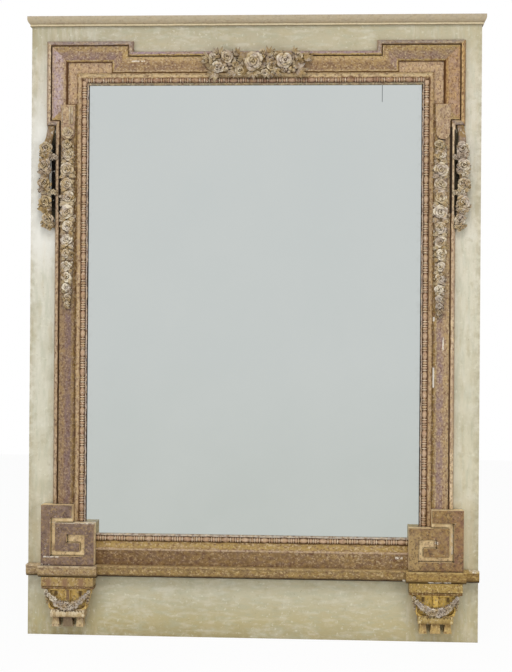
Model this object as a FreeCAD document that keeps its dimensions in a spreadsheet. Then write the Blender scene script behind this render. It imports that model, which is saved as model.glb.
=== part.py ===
import FreeCAD
import Part
import Sketcher
import math
import os
from types import SimpleNamespace

# Painted and parcel-gilt overmantel mirror: a painted board ground with a cornice, an eared gilt frame
# in mitred lengths, one plate of glass, fret blocks and brackets at the foot, carved flowers.
# Lengths are millimetres. +Z is up, the wall is the plane Y = 0 and the viewer stands on the -Y side.

SIZES = {
    # painted ground: framed boards with two thin panels behind the glass
    "ground_width": 1370,
    "ground_height": 1862,
    "ground_thickness": 32,
    "stile_width": 215,
    "rail_thickness": 20,
    "top_rail_height": 222,
    "middle_rail_height": 110,
    "middle_rail_level": 960,
    "bottom_rail_height": 350,
    "tenon_length": 60,
    "tenon_thickness": 10,
    "tenon_shoulder": 25,
    "panel_thickness": 8,
    "groove_depth": 10,
    "panel_play": 1.5,
    "peg_side": 9,
    "peg_inset": 15,
    "peg_cover": 4,
    # cornice
    "cornice_height": 30,
    "cornice_overhang": 13,
    "cornice_fillet_height": 6,
    "cornice_fillet_overhang": 5,
    "cornice_ovolo_height": 16,
    "cornice_ovolo_round": 22,
    # opening that the frame leaves for the glass, from the edges of the ground
    "sight_side_width": 180,
    "sight_top_height": 182,
    "sight_base": 314,
    # sight moulding: hollow, seat for the bead string, lip over the glass
    "hollow_width": 14,
    "hollow_height": 13,
    "hollow_round": 12,
    "bead_seat_width": 17,
    "bead_seat_height": 8,
    "lip_width": 6,
    "lip_height": 9.5,
    "lip_edge_height": 7,
    "rebate_width": 13,
    "glass_thickness": 4,
    "glass_clearance": 0.3,
    "glass_play": 2,
    "bead_radius": 7.5,
    "bottom_fillet_width": 6,
    "bottom_fillet_height": 15,
    "bottom_hollow_width": 21,
    "bottom_hollow_round": 20,
    "bottom_frieze_height": 13,
    # eared ribbon moulding: rounded rim, quirk and flat frieze
    "ribbon_width": 66,
    "rim_edge_height": 7,
    "rim_slope": 10,
    "rim_round": 12,
    "rim_width": 14,
    "rim_height": 18,
    "quirk_width": 3,
    "quirk_floor": 11,
    "frieze_height": 15,
    "frieze_bevel": 4,
    "ear_side_step": 28,
    "ear_rise": 32,
    "ear_length": 266,
    "ear_drop": 258,
    "ear_field_height": 9,
    # ledge across the foot
    "ledge_base": 184,
    "ledge_height": 35,
    "ledge_depth": 33,
    "ledge_round": 18,
    "ledge_undercut": 10,
    "ledge_undercut_height": 14,
    "ledge_fillet_height": 6,
    "ledge_fillet_overhang": 3,
    "break_depth": 57,
    "break_overhang": 8,
    # fret blocks
    "key_width": 162,
    "key_height": 183,
    "key_depth": 50,
    "key_arm": 28,
    "key_channel": 16,
    "key_inner_arm": 34,
    "key_low_arm": 25,
    "key_pocket_height": 26,
    "key_fret_depth": 14,
    # brackets
    "abacus_width": 158,
    "abacus_height": 28,
    "abacus_depth": 50,
    "abacus_fillet_height": 8,
    "abacus_fillet_depth": 44,
    "console_top_width": 144,
    "console_bottom_width": 112,
    "console_height": 62,
    "console_depth": 38,
    "flute_width": 48,
    "flute_depth": 9,
    "flute_rib": 14,
    "flute_margin": 5,
    "flute_round": 30,
    "flute_height": 46,
    "garland_relief": 16,
    "garland_sag": 52,
    "garland_thickness": 26,
    "garland_tip": 8,
    "garland_outer_round": 82,
    "garland_inner_round": 92,
    "tail_width": 15,
    "tail_length": 44,
    "foot_width": 104,
    "foot_height": 25,
    "foot_depth": 38,
    "gutta_height": 29,
    "gutta_top_width": 17,
    "gutta_bottom_width": 23,
    "gutta_depth": 34,
    "gutta_pitch": 37,
    "gutta_middle_extra_width": 8,
    # carved flowers
    "crest_width": 316,
    "crest_rise": 74,
    "crest_drop_below_ribbon": 7,
    "crest_relief": 12,
    "crest_lobe_round": 40,
    "crest_blossom_radius": 27,
    "crest_blossom_relief": 12,
    "crest_blossom_pitch": 92,
    "pendant_length": 500,
    "pendant_width": 43,
    "pendant_relief": 8,
    "pendant_lobe_round": 60,
    "pendant_blossom_radius": 16,
    "pendant_blossom_relief": 8,
    "tablet_width": 44,
    "tablet_height": 50,
    "tablet_relief": 8,
    "drop_width": 41,
    "drop_length": 35,
    "festoon_length": 314,
    "festoon_width": 36,
    "festoon_standoff": 2,
    "festoon_relief": 20,
    "festoon_gap": 10,
    "festoon_lobe_round": 60,
    "festoon_tie_height": 16,
    "festoon_blossom_radius": 17,
    "festoon_blossom_relief": 8,
    # hanging hardware on the back of the top rail
    "hanger_inset": 40,
    "hanger_top_height": 90,
    "strap_width": 18,
    "strap_length": 62,
    "strap_thickness": 2,
    "pivot_radius": 2.3,
    "eye_clearance": 0.3,
    "ring_width": 34,
    "ring_length": 44.6,
    "ring_bar": 5,
    "ring_corner": 10,
    "nail_inset": 8,
    "nail_pitch": 36,
    "nail_shank": 4,
    "nail_head": 8,
    "nail_head_thickness": 1,
    "nail_length": 16,
    # how far a cut runs past the piece that it cuts
    "overrun": 2,
}

# places along the carved chains, as shares of the chain's length, reach or half width
pendant_width_shares = (0.55, 0.95, 0.7, 1.0, 0.75, 1.0, 0.7, 0.95, 0.65, 0.85, 0.5, 0.25)
pendant_blossom_shares = (0.14, 0.32, 0.5, 0.68, 0.84)
festoon_reach_shares = (0.5, 0.75, 1.0, 1.0, 1.0, 1.0, 0.75, 0.45)
festoon_width_shares = (0.5, 0.75, 1.0, 0.9, 1.0, 1.0, 0.85, 0.35)
festoon_blossom_shares = (0.2, 0.37, 0.54, 0.72, 0.88)
festoon_blossom_reach_shares = (0.9, 1.0, 1.0, 0.95, 0.68)
crest_top_shares = (0.35, 0.85, 0.9, 1.0, 0.95, 1.0, 0.9, 0.85, 0.35)
crest_bottom_shares = (0.6, 0.85, 0.9, 1.0, 0.95, 1.0, 0.9, 0.85, 0.6)


class Size:
    """A length of the sheet, or a sum of such lengths, with the expression that binds it."""

    def __init__(self, text, value):
        self.text = text
        self.value = value

    def __add__(self, other):
        return Size(f"({self.text} + {other.text})", self.value + other.value)

    def __sub__(self, other):
        return Size(f"({self.text} - {other.text})", self.value - other.value)

    def __mul__(self, share):
        return Size(f"({self.text} * {share})", self.value * share)

    def __truediv__(self, count):
        return Size(f"({self.text} / {count})", self.value / count)

    def __neg__(self):
        return self * -1


doc = FreeCAD.newDocument("painted_mirror")
sheet = doc.addObject("Spreadsheet::Sheet", "Sizes")
for row, (name, value) in enumerate(SIZES.items(), start=1):
    sheet.set(f"A{row}", name)
    sheet.set(f"B{row}", str(value))
    sheet.setAlias(f"B{row}", name)
doc.recompute()
size = SimpleNamespace(**{name: Size(f"Sizes.{name}", float(sheet.get(name))) for name in SIZES})
zero = Size("0", 0.0)
bodies = []


def new_body(label):
    """An empty sub-part under its own label."""
    body = doc.addObject("PartDesign::Body", label)
    body.Label = label
    bodies.append(body)
    return body


def sketch_on(body, role, offset, across=zero, up=zero):
    """A sketch on one of the body's own origin planes, moved along the plane's normal and in the plane."""
    plane = next(feature for feature in body.Origin.OriginFeatures if feature.Role == role)
    sketch = body.newObject("Sketcher::SketchObject", f"{body.Name}_sketch")
    sketch.AttachmentSupport = [(plane, "")]
    sketch.MapMode = "FlatFace"
    sketch.setExpression("AttachmentOffset.Base.x", across.text)
    sketch.setExpression("AttachmentOffset.Base.y", up.text)
    sketch.setExpression("AttachmentOffset.Base.z", offset.text)
    return sketch


def bind(sketch, kind, geometry, distance):
    """A dimension of the sketch, tied to the sheet."""
    number = sketch.addConstraint(Sketcher.Constraint(kind, *geometry, distance.value))
    sketch.setExpression(f"Constraints[{number}]", distance.text)


def arc_between(start, end, radius):
    """The arc of less than a half circle from start to end, clockwise for a negative radius."""
    chord = end - start
    left = FreeCAD.Vector(-chord.y, chord.x, 0).normalize()
    turn = math.copysign(1, radius)
    centre = (start + end) / 2 + left * turn * math.sqrt(radius ** 2 - (chord.Length / 2) ** 2)
    circle = Part.Circle(centre, FreeCAD.Vector(0, 0, 1), abs(radius))
    angles = [math.atan2(p.y - centre.y, p.x - centre.x) for p in (start, end)]
    if turn < 0:
        angles.reverse()
    return Part.ArcOfCircle(circle, *angles)


def draw(sketch, points):
    """A closed outline through points (u, v), where (u, v, radius) starts an arc instead of a line."""
    first = sketch.GeometryCount
    count = len(points)
    places = [FreeCAD.Vector(point[0].value, point[1].value, 0) for point in points]
    ends = []
    for i, point in enumerate(points):
        start, end = places[i], places[(i + 1) % count]
        if len(point) == 2:
            sketch.addGeometry(Part.LineSegment(start, end), False)
            ends.append((1, 2))
        else:
            sketch.addGeometry(arc_between(start, end, point[2].value), False)
            ends.append((1, 2) if point[2].value > 0 else (2, 1))
    for i in range(count):
        following = (i + 1) % count
        sketch.addConstraint(
            Sketcher.Constraint("Coincident", first + i, ends[i][1], first + following, ends[following][0]))
    for i, point in enumerate(points):
        bind(sketch, "DistanceX", (-1, 1, first + i, ends[i][0]), point[0])
        bind(sketch, "DistanceY", (-1, 1, first + i, ends[i][0]), point[1])
        if len(point) == 3:
            bind(sketch, "Radius", (first + i,), point[2] if point[2].value > 0 else -point[2])


def draw_circle(sketch, u, v, radius):
    """A circle about (u, v)."""
    circle = Part.Circle(FreeCAD.Vector(u.value, v.value, 0), FreeCAD.Vector(0, 0, 1), radius.value)
    number = sketch.addGeometry(circle, False)
    bind(sketch, "DistanceX", (-1, 1, number, 3), u)
    bind(sketch, "DistanceY", (-1, 1, number, 3), v)
    bind(sketch, "Radius", (number,), radius)


def pad(body, sketch, length, symmetric=False):
    """Material along the sketch's normal."""
    feature = body.newObject("PartDesign::Pad", f"{body.Name}_pad")
    feature.Profile = sketch
    feature.setExpression("Length", length.text)
    if symmetric:
        feature.SideType = "Symmetric"
    return feature


def pocket(body, sketch, depth=None, along_normal=False):
    """A cut of the given depth, or right through both ways."""
    feature = body.newObject("PartDesign::Pocket", f"{body.Name}_pocket")
    feature.Profile = sketch
    if depth is None:
        feature.Type = "ThroughAll"
        feature.SideType = "Symmetric"
    else:
        feature.setExpression("Length", depth.text)
        feature.Reversed = along_normal
    return feature


def rectangle(left, right, low, high):
    """Outline of an upright rectangle."""
    return [(left, low), (right, low), (right, high), (left, high)]


def plate(label, outline, back, thickness):
    """A flat piece drawn from the front; back is its distance from the wall."""
    body = new_body(label)
    sketch = sketch_on(body, "XZ_Plane", back)
    draw(sketch, outline)
    pad(body, sketch, thickness)
    return body


def cut_from_front(body, outline, floor=None, depth=None):
    """A cut drawn from the front, through, or from the depth floor towards the viewer."""
    sketch = sketch_on(body, "XZ_Plane", zero if floor is None else floor)
    draw(sketch, outline)
    pocket(body, sketch, depth, along_normal=True)


def mirrored(points, side):
    """An outline of the right-hand piece, turned over for the left-hand one."""
    turned = []
    for point in points:
        radius = [point[2] * side] if len(point) == 3 else []
        turned.append((point[0] * side, point[1], *radius))
    return turned


SIDES = {"left": -1, "right": 1}
front = size.ground_thickness
half_ground = size.ground_width / 2
stile_inner = half_ground - size.stile_width

# Painted ground. The rails are flush with the stiles in front and tenoned into them; the thinner top and
# middle rails leave room behind for the hangers.
tenon_back = front - size.rail_thickness / 2 - size.tenon_thickness / 2
groove_back = front - size.rail_thickness / 2 - size.panel_thickness / 2
top_rail_level = size.ground_height - size.top_rail_height
middle_rail_top = size.middle_rail_level + size.middle_rail_height
rail_back = front - size.rail_thickness
RAILS = {
    "top_rail": (top_rail_level, size.ground_height, rail_back, size.rail_thickness),
    "middle_rail": (size.middle_rail_level, middle_rail_top, rail_back, size.rail_thickness),
    "bottom_rail": (zero, size.bottom_rail_height, zero, front),
}
peg_x = stile_inner + size.tenon_length / 2
peg_half = size.peg_side / 2


def peg_outlines(side, low, high):
    """The two square pegs that lock one tenon."""
    centres = (low + size.tenon_shoulder + size.peg_inset, high - size.tenon_shoulder - size.peg_inset)
    return [rectangle(peg_x * side - peg_half, peg_x * side + peg_half, z - peg_half, z + peg_half)
            for z in centres]


def stile(label, side):
    """An upright board with mortises for the rails, a groove for the panels and peg holes."""
    edges = (half_ground * side, stile_inner * side)
    body = plate(label, rectangle(edges[0], edges[1], zero, size.ground_height), zero, front)
    mortises = sketch_on(body, "YZ_Plane", edges[1])
    for low, high, _, _ in RAILS.values():
        draw(mortises, rectangle(-tenon_back - size.tenon_thickness, -tenon_back,
                                 low + size.tenon_shoulder, high - size.tenon_shoulder))
    pocket(body, mortises, size.tenon_length, along_normal=side > 0)
    groove = sketch_on(body, "YZ_Plane", edges[1])
    draw(groove, rectangle(-groove_back - size.panel_thickness, -groove_back,
                           size.bottom_rail_height - size.groove_depth, top_rail_level + size.groove_depth))
    pocket(body, groove, size.groove_depth, along_normal=side > 0)
    holes = sketch_on(body, "XZ_Plane", zero)
    for low, high, _, _ in RAILS.values():
        for outline in peg_outlines(side, low, high):
            draw(holes, outline)
    pocket(body, holes, front - size.peg_cover, along_normal=True)


def rail(label, low, high, back, thickness):
    """A cross board with a tenon at each end, peg holes through the tenons and grooved edges."""
    body = plate(label, rectangle(-stile_inner, stile_inner, low, high), back, thickness)
    tenon_end = stile_inner + size.tenon_length
    tenons = sketch_on(body, "XZ_Plane", tenon_back)
    draw(tenons, rectangle(-tenon_end, tenon_end, low + size.tenon_shoulder, high - size.tenon_shoulder))
    pad(body, tenons, size.tenon_thickness)
    holes = sketch_on(body, "XZ_Plane", zero)
    for side in SIDES.values():
        for outline in peg_outlines(side, low, high):
            draw(holes, outline)
    pocket(body, holes)
    grooved_edges = {
        "top_rail": [(low, True)],
        "middle_rail": [(low, True), (high, False)],
        "bottom_rail": [(high, False)],
    }
    for level, upwards in grooved_edges[label]:
        groove = sketch_on(body, "XY_Plane", level)
        draw(groove, rectangle(-stile_inner, stile_inner, -groove_back - size.panel_thickness, -groove_back))
        pocket(body, groove, size.groove_depth, along_normal=upwards)
    return body


for name, side in SIDES.items():
    stile(f"{name}_stile", side)
rails = {label: rail(label, *span) for label, span in RAILS.items()}
panel_half = stile_inner + size.groove_depth - size.panel_play
for label, low, high in (("lower_panel", size.bottom_rail_height, size.middle_rail_level),
                         ("upper_panel", middle_rail_top, top_rail_level)):
    panel_top = high + size.groove_depth - size.panel_play
    outline = rectangle(-panel_half, panel_half, low - size.groove_depth, panel_top)
    plate(label, outline, groove_back, size.panel_thickness)
pegs = new_body("joint_pegs")
peg_sketch = sketch_on(pegs, "XZ_Plane", zero)
for side in SIDES.values():
    for low, high, _, _ in RAILS.values():
        for outline in peg_outlines(side, low, high):
            draw(peg_sketch, outline)
pad(pegs, peg_sketch, front - size.peg_cover)

# Cornice: a moulded cap board with a mitred return strip at each end.
cornice_top = size.ground_height + size.cornice_height
fillet_top = size.ground_height + size.cornice_fillet_height
ovolo_top = fillet_top + size.cornice_ovolo_height


def cornice_section(inner, plain, sign):
    """Fillet, ovolo and fascia; plain is the board's face and sign the way that the moulding looks."""
    fillet = (plain + size.cornice_fillet_overhang) * sign
    fascia = (plain + size.cornice_overhang) * sign
    return [
        (inner, size.ground_height),
        (fillet, size.ground_height),
        (fillet, fillet_top, size.cornice_ovolo_round * sign),
        (fascia, ovolo_top),
        (fascia, cornice_top),
        (inner, cornice_top),
    ]


cornice_end = half_ground + size.cornice_overhang
cornice_front_depth = front + size.cornice_overhang
cornice = new_body("cornice_front")
cornice_profile = sketch_on(cornice, "YZ_Plane", -cornice_end)
draw(cornice_profile, cornice_section(zero, front, -1))
pad(cornice, cornice_profile, cornice_end * 2)
for side in SIDES.values():
    past = cornice_end + size.overrun
    trim = [
        (half_ground * side, size.overrun),
        (half_ground * side, -front),
        (past * side, -cornice_front_depth - size.overrun),
        (past * side, size.overrun),
    ]
    trim_sketch = sketch_on(cornice, "XY_Plane", zero)
    draw(trim_sketch, trim)
    pocket(cornice, trim_sketch)
for name, side in SIDES.items():
    strip = plate(f"cornice_{name}_return", cornice_section(half_ground * side, half_ground, side), zero,
                  cornice_front_depth)
    mitre_sketch = sketch_on(strip, "XY_Plane", zero)
    draw(mitre_sketch, [
        (half_ground * side, -front),
        ((cornice_end + size.overrun) * side, -cornice_front_depth - size.overrun),
        (half_ground * side, -cornice_front_depth - size.overrun),
    ])
    pocket(strip, mitre_sketch)


def moulding(label, profile, width, axis, outer, inward, start, end):
    """A length of moulding on the ground's face, mitred or square at its ends.

    The profile's points are (distance from the outer edge, height above the ground). The length runs along
    axis, its outer edge lies at outer, and inward is the sign of the way to its inner edge. start and end
    give the place of each end along the axis, at the outer and at the inner edge.
    """
    body = new_body(label)
    low = min(start, key=lambda place: place.value)
    high = max(end, key=lambda place: place.value)
    section = []
    for point in profile:
        across = outer + point[0] * inward
        depth = -front - point[1]
        if axis == "x":
            radius = [point[2] * inward] if len(point) == 3 else []
            section.append((depth, across, *radius))
        else:
            radius = [point[2] * -inward] if len(point) == 3 else []
            section.append((across, depth, *radius))
    sketch = sketch_on(body, "YZ_Plane" if axis == "x" else "XY_Plane", low)
    draw(sketch, section)
    pad(body, sketch, high - low)
    for (at_outer, at_inner), away in ((start, -1), (end, 1)):
        lean = at_inner.value - at_outer.value
        if lean == 0:
            continue
        over = size.overrun * math.copysign(1, lean)
        reach = (width + size.overrun * 2) * away
        outer_edge = outer - size.overrun * inward
        inner_edge = outer + (width + size.overrun) * inward
        cut = [(at_outer - over, outer_edge), (at_inner + over, inner_edge),
               (at_inner + over + reach, inner_edge), (at_outer - over + reach, outer_edge)]
        if axis == "z":
            cut = [(across, along) for along, across in cut]
        cut_from_front(body, cut)
    return body


# Sight mouldings and bead strings round the glass. The sides stop on the fret blocks.
rebate_depth = size.glass_thickness + size.glass_clearance
sight_half = half_ground - size.sight_side_width
sight_top = size.ground_height - size.sight_top_height
ledge_top = size.ledge_base + size.ledge_height


def sight_profile(before, hollow, hollow_round):
    """Hollow, bead seat, lip and rebate, after the points that come before the hollow."""
    begin = before[-1][0] if before else zero
    seat = begin + hollow
    lip = seat + size.bead_seat_width
    inner = lip + size.lip_width
    return [
        (zero, zero),
        *before,
        (begin, size.hollow_height, hollow_round),
        (seat, size.bead_seat_height),
        (lip, size.bead_seat_height),
        (lip, size.lip_height),
        (inner, size.lip_edge_height),
        (inner, rebate_depth),
        (inner - size.rebate_width, rebate_depth),
        (inner - size.rebate_width, zero),
    ]


side_profile = sight_profile([], size.hollow_width, size.hollow_round)
bottom_fillet = [(zero, size.bottom_fillet_height), (size.bottom_fillet_width, size.bottom_fillet_height)]
bottom_profile = sight_profile(bottom_fillet, size.bottom_hollow_width, size.bottom_hollow_round)
lip_run = size.bead_seat_width + size.lip_width
sight_width = size.hollow_width + lip_run
bottom_sight_width = size.bottom_fillet_width + size.bottom_hollow_width + lip_run
sight_outer = sight_half + sight_width
sight_outer_top = sight_top + sight_width
bottom_sight_outer = size.sight_base - bottom_sight_width

stile_outer = sight_outer + size.ribbon_width
ear_outer = stile_outer + size.ear_side_step
key_outer = ear_outer
key_inner = key_outer - size.key_width
key_top = ledge_top + size.key_height
key_square = size.key_arm + size.key_channel + size.key_low_arm + size.key_pocket_height + size.key_inner_arm
key_square_top = ledge_top + key_square

moulding("top_sight", side_profile, sight_width, "x", sight_outer_top, -1,
         (-sight_outer, -sight_half), (sight_outer, sight_half))
for name, side in SIDES.items():
    moulding(f"{name}_sight", side_profile, sight_width, "z", sight_outer * side, -side,
             (key_square_top, key_square_top), (sight_outer_top, sight_top))
moulding("bottom_sight", bottom_profile, bottom_sight_width, "x", bottom_sight_outer, 1,
         (-key_inner, -key_inner), (key_inner, key_inner))

bead_width = size.bead_radius * 2
bead_margin = (size.bead_seat_width - bead_width) / 2
bead_profile = [
    (zero, size.bead_seat_height, -size.bead_radius),
    (size.bead_radius, size.bead_seat_height + size.bead_radius, -size.bead_radius),
    (bead_width, size.bead_seat_height),
]
bead_inset = size.lip_width + bead_margin
bead_inner = sight_half + bead_inset
bead_outer = bead_inner + bead_width
bead_inner_top = sight_top + bead_inset
bead_outer_top = bead_inner_top + bead_width
moulding("top_bead", bead_profile, bead_width, "x", bead_outer_top, -1,
         (-bead_outer, -bead_inner), (bead_outer, bead_inner))
for name, side in SIDES.items():
    moulding(f"{name}_bead", bead_profile, bead_width, "z", bead_outer * side, -side,
             (key_square_top, key_square_top), (bead_outer_top, bead_inner_top))
moulding("bottom_bead", bead_profile, bead_width, "x", size.sight_base - bead_inset - bead_width, 1,
         (-key_inner, -key_inner), (key_inner, key_inner))

# Eared ribbon: the moulding steps out and up round each ear, and back above the stile.
quirk_inner = size.rim_width + size.quirk_width
ribbon_profile = [
    (zero, zero),
    (zero, size.rim_edge_height, -size.rim_round),
    (size.rim_slope, size.rim_height),
    (size.rim_width, size.rim_height),
    (size.rim_width, size.quirk_floor),
    (quirk_inner, size.quirk_floor),
    (quirk_inner, size.frieze_height),
    (size.ribbon_width - size.frieze_bevel, size.frieze_height),
    (size.ribbon_width, size.frieze_height - size.frieze_bevel),
    (size.ribbon_width, zero),
]
ribbon_top = sight_outer_top + size.ribbon_width
ear_top = ribbon_top + size.ear_rise
ear_foot = ear_top - size.ear_drop
ear_end = ear_outer - size.ear_length
ribbon = size.ribbon_width


def ribbon_length(label, axis, outer, inward, start, end):
    """A length of the ribbon moulding."""
    return moulding(label, ribbon_profile, ribbon, axis, outer, inward, start, end)


def along_x(side, outer, inner, far_outer, far_inner):
    """Ends of a level length on the given side, from its centre end to its far end."""
    near, far = (outer * side, inner * side), (far_outer * side, far_inner * side)
    return (near, far) if side > 0 else (far, near)


ribbon_length("top_ribbon", "x", ribbon_top, -1, (-ear_end, -ear_end - ribbon), (ear_end, ear_end + ribbon))
for name, side in SIDES.items():
    ribbon_length(f"{name}_ear_step", "z", ear_end * side, side,
                  (ribbon_top, ribbon_top - ribbon), (ear_top, ear_top - ribbon))
    ribbon_length(f"{name}_ear_top", "x", ear_top, -1,
                  *along_x(side, ear_end, ear_end + ribbon, ear_outer, ear_outer - ribbon))
    ribbon_length(f"{name}_ear_side", "z", ear_outer * side, -side,
                  (ear_foot, ear_foot + ribbon), (ear_top, ear_top - ribbon))
    ribbon_length(f"{name}_ear_foot", "x", ear_foot, 1,
                  *along_x(side, stile_outer, stile_outer - ribbon, ear_outer, ear_outer - ribbon))
    ribbon_length(f"{name}_stile_ribbon", "z", stile_outer * side, -side,
                  (key_top, key_top), (ear_foot, ear_foot + ribbon))
    field = [
        (sight_outer, ear_foot + ribbon),
        (ear_outer - ribbon, ear_foot + ribbon),
        (ear_outer - ribbon, ear_top - ribbon),
        (ear_end + ribbon, ear_top - ribbon),
        (ear_end + ribbon, sight_outer_top),
        (sight_outer, sight_outer_top),
    ]
    plate(f"{name}_ear_field", mirrored(field, side), front, size.ear_field_height)

# Glass: stands in the bottom rebate, against the ground.
glass_half = sight_half + size.rebate_width - size.glass_play
glass_base = size.sight_base - size.rebate_width
glass_top = sight_top + size.rebate_width - size.glass_play
plate("mirror_plate", rectangle(-glass_half, glass_half, glass_base, glass_top), front, size.glass_thickness)

# Frieze between the fret blocks.
plate("bottom_frieze", rectangle(-key_inner, key_inner, ledge_top, bottom_sight_outer), front,
      size.bottom_frieze_height)


def key_block(label, side):
    """A block with a square spiral fret, cut away for the side moulding and rebated over the glass."""
    outline = [
        (key_inner, ledge_top),
        (key_outer, ledge_top),
        (key_outer, key_top),
        (sight_outer, key_top),
        (sight_outer, key_square_top),
        (key_inner, key_square_top),
    ]
    body = plate(label, mirrored(outline, side), front, size.key_depth)
    outer_wall = key_outer - size.key_arm
    inner_wall = outer_wall - size.key_channel
    pocket_wall = inner_wall - size.key_inner_arm
    centre_wall = key_inner + size.key_arm
    low_end = centre_wall + size.key_channel
    floor_level = ledge_top + size.key_arm
    low_arm = floor_level + size.key_channel
    pocket_low = low_arm + size.key_low_arm
    pocket_high = pocket_low + size.key_pocket_height
    open_end = sight_outer - size.overrun
    fret = [
        (open_end, key_square_top + size.key_channel),
        (outer_wall, key_square_top + size.key_channel),
        (outer_wall, floor_level),
        (centre_wall, floor_level),
        (centre_wall, pocket_high),
        (pocket_wall, pocket_high),
        (pocket_wall, pocket_low),
        (low_end, pocket_low),
        (low_end, low_arm),
        (inner_wall, low_arm),
        (inner_wall, key_square_top),
        (open_end, key_square_top),
    ]
    cut_from_front(body, mirrored(fret, side), front + size.key_depth - size.key_fret_depth,
                   size.key_fret_depth + size.overrun)
    rebate = rectangle(key_inner - size.overrun, sight_half + size.rebate_width, glass_base,
                       key_square_top + size.overrun)
    cut_from_front(body, mirrored(rebate, side), front - size.overrun, rebate_depth + size.overrun)


def ledge_profile(depth):
    """Undercut, round face and top fillet, from the ground forwards."""
    face = -front - depth
    top_edge = face - size.ledge_fillet_overhang
    fillet_level = ledge_top - size.ledge_fillet_height
    undercut_level = size.ledge_base + size.ledge_undercut_height
    return [
        (-front, size.ledge_base),
        (face + size.ledge_undercut, size.ledge_base, -size.ledge_round),
        (face, undercut_level),
        (face, fillet_level),
        (top_edge, fillet_level),
        (top_edge, ledge_top),
        (-front, ledge_top),
    ]


def ledge_length(label, depth, left, right):
    """A length of the ledge moulding with square ends."""
    body = new_body(label)
    sketch = sketch_on(body, "YZ_Plane", left)
    draw(sketch, ledge_profile(depth))
    pad(body, sketch, right - left)


break_inner = key_inner - size.break_overhang
break_outer = key_outer + size.break_overhang
ledge_length("ledge_centre", size.ledge_depth, -break_inner, break_inner)
for name, side in SIDES.items():
    key_block(f"{name}_key_block", side)
    inner_end, outer_end = (break_inner, break_outer) if side > 0 else (-break_outer, -break_inner)
    ledge_length(f"{name}_ledge_break", size.break_depth, inner_end, outer_end)
    inner_end, outer_end = (break_outer, half_ground) if side > 0 else (-half_ground, -break_outer)
    ledge_length(f"{name}_ledge_end", size.ledge_depth, inner_end, outer_end)

# Brackets under the fret blocks.
bracket_centre = (key_inner + key_outer) / 2
console_top = size.ledge_base - size.abacus_height - size.abacus_fillet_height
console_base = console_top - size.console_height
foot_base = console_base - size.foot_height


def bracket(name, side):
    """Abacus, fluted console, hanging garland and a leaf band with three guttae."""
    centre = bracket_centre * side
    abacus = new_body(f"{name}_bracket_abacus")
    half_abacus = size.abacus_width / 2
    sketch = sketch_on(abacus, "YZ_Plane", centre - half_abacus)
    abacus_base = size.ledge_base - size.abacus_height
    draw(sketch, [
        (-front, console_top),
        (-front - size.abacus_fillet_depth, console_top),
        (-front - size.abacus_fillet_depth, abacus_base),
        (-front - size.abacus_depth, abacus_base),
        (-front - size.abacus_depth, size.ledge_base),
        (-front, size.ledge_base),
    ])
    pad(abacus, sketch, size.abacus_width)

    half_top = size.console_top_width / 2
    half_bottom = size.console_bottom_width / 2
    console = plate(f"{name}_bracket_body", [
        (centre - half_bottom, console_base),
        (centre + half_bottom, console_base),
        (centre + half_top, console_top),
        (centre - half_top, console_top),
    ], front, size.console_depth)
    flute_top = console_top - size.flute_margin
    flute_base = flute_top - size.flute_height
    flutes = sketch_on(console, "XZ_Plane", front + size.console_depth - size.flute_depth)
    for turn in SIDES.values():
        near = centre + size.flute_rib / 2 * turn
        far = centre + (size.flute_rib / 2 + size.flute_width) * turn
        left, right = (near, far) if turn > 0 else (far, near)
        draw(flutes, [(left, flute_base, size.flute_round), (right, flute_base), (right, flute_top),
                      (left, flute_top)])
    pocket(console, flutes, size.flute_depth + size.overrun, along_normal=True)

    low = console_top - size.garland_sag
    tip = size.garland_tip
    garland = plate(f"{name}_bracket_garland", [
        (centre - half_top, console_top, size.garland_outer_round),
        (centre, low - size.garland_thickness / 2, size.garland_outer_round),
        (centre + half_top, console_top),
        (centre + half_top - tip, console_top, -size.garland_inner_round),
        (centre, low + size.garland_thickness / 2, -size.garland_inner_round),
        (centre - half_top + tip, console_top),
    ], front + size.console_depth, size.garland_relief)
    tails = sketch_on(garland, "XZ_Plane", front + size.console_depth)
    for turn in SIDES.values():
        outer = centre + half_top * turn
        inner = centre + (half_top - size.tail_width) * turn
        tail_end = centre + (half_top - size.tail_width / 2) * turn
        draw(tails, [(outer, console_top), (inner, console_top), (tail_end, console_top - size.tail_length)])
    pad(garland, tails, size.garland_relief / 2)

    half_foot = size.foot_width / 2
    band = rectangle(centre - half_foot, centre + half_foot, foot_base, console_base)
    foot = plate(f"{name}_bracket_foot", band, front, size.foot_depth)
    guttae = sketch_on(foot, "XZ_Plane", front)
    for step in (-1, 0, 1):
        middle = centre + size.gutta_pitch * step
        extra = zero if step else size.gutta_middle_extra_width
        half_low = (size.gutta_bottom_width + extra) / 2
        half_high = (size.gutta_top_width + extra) / 2
        draw(guttae, [
            (middle - half_low, foot_base - size.gutta_height),
            (middle + half_low, foot_base - size.gutta_height),
            (middle + half_high, foot_base),
            (middle - half_high, foot_base),
        ])
    pad(foot, guttae, size.gutta_depth)


for name, side in SIDES.items():
    bracket(name, side)


def chain_outline(spine, half_widths, lobe_round):
    """Scalloped edge of a hanging chain of flowers, lobe by lobe down one side and up the other."""
    right = [(u + half, v, -lobe_round) for (u, v), half in zip(spine, half_widths)]
    left = [(u - half, v, -lobe_round) for (u, v), half in zip(spine, half_widths)]
    left.reverse()
    right[-1] = right[-1][:2]
    left[-1] = left[-1][:2]
    return right + left


def blossoms(body, places, radius, back, relief):
    """Eight-sided flower heads that stand up from a carved chain."""
    sketch = sketch_on(body, "XZ_Plane", back)
    turns = [math.pi * (i + 0.5) / 4 for i in range(8)]
    for u, v in places:
        draw(sketch, [(u + radius * math.cos(turn), v + radius * math.sin(turn)) for turn in turns])
    pad(body, sketch, relief)


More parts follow.
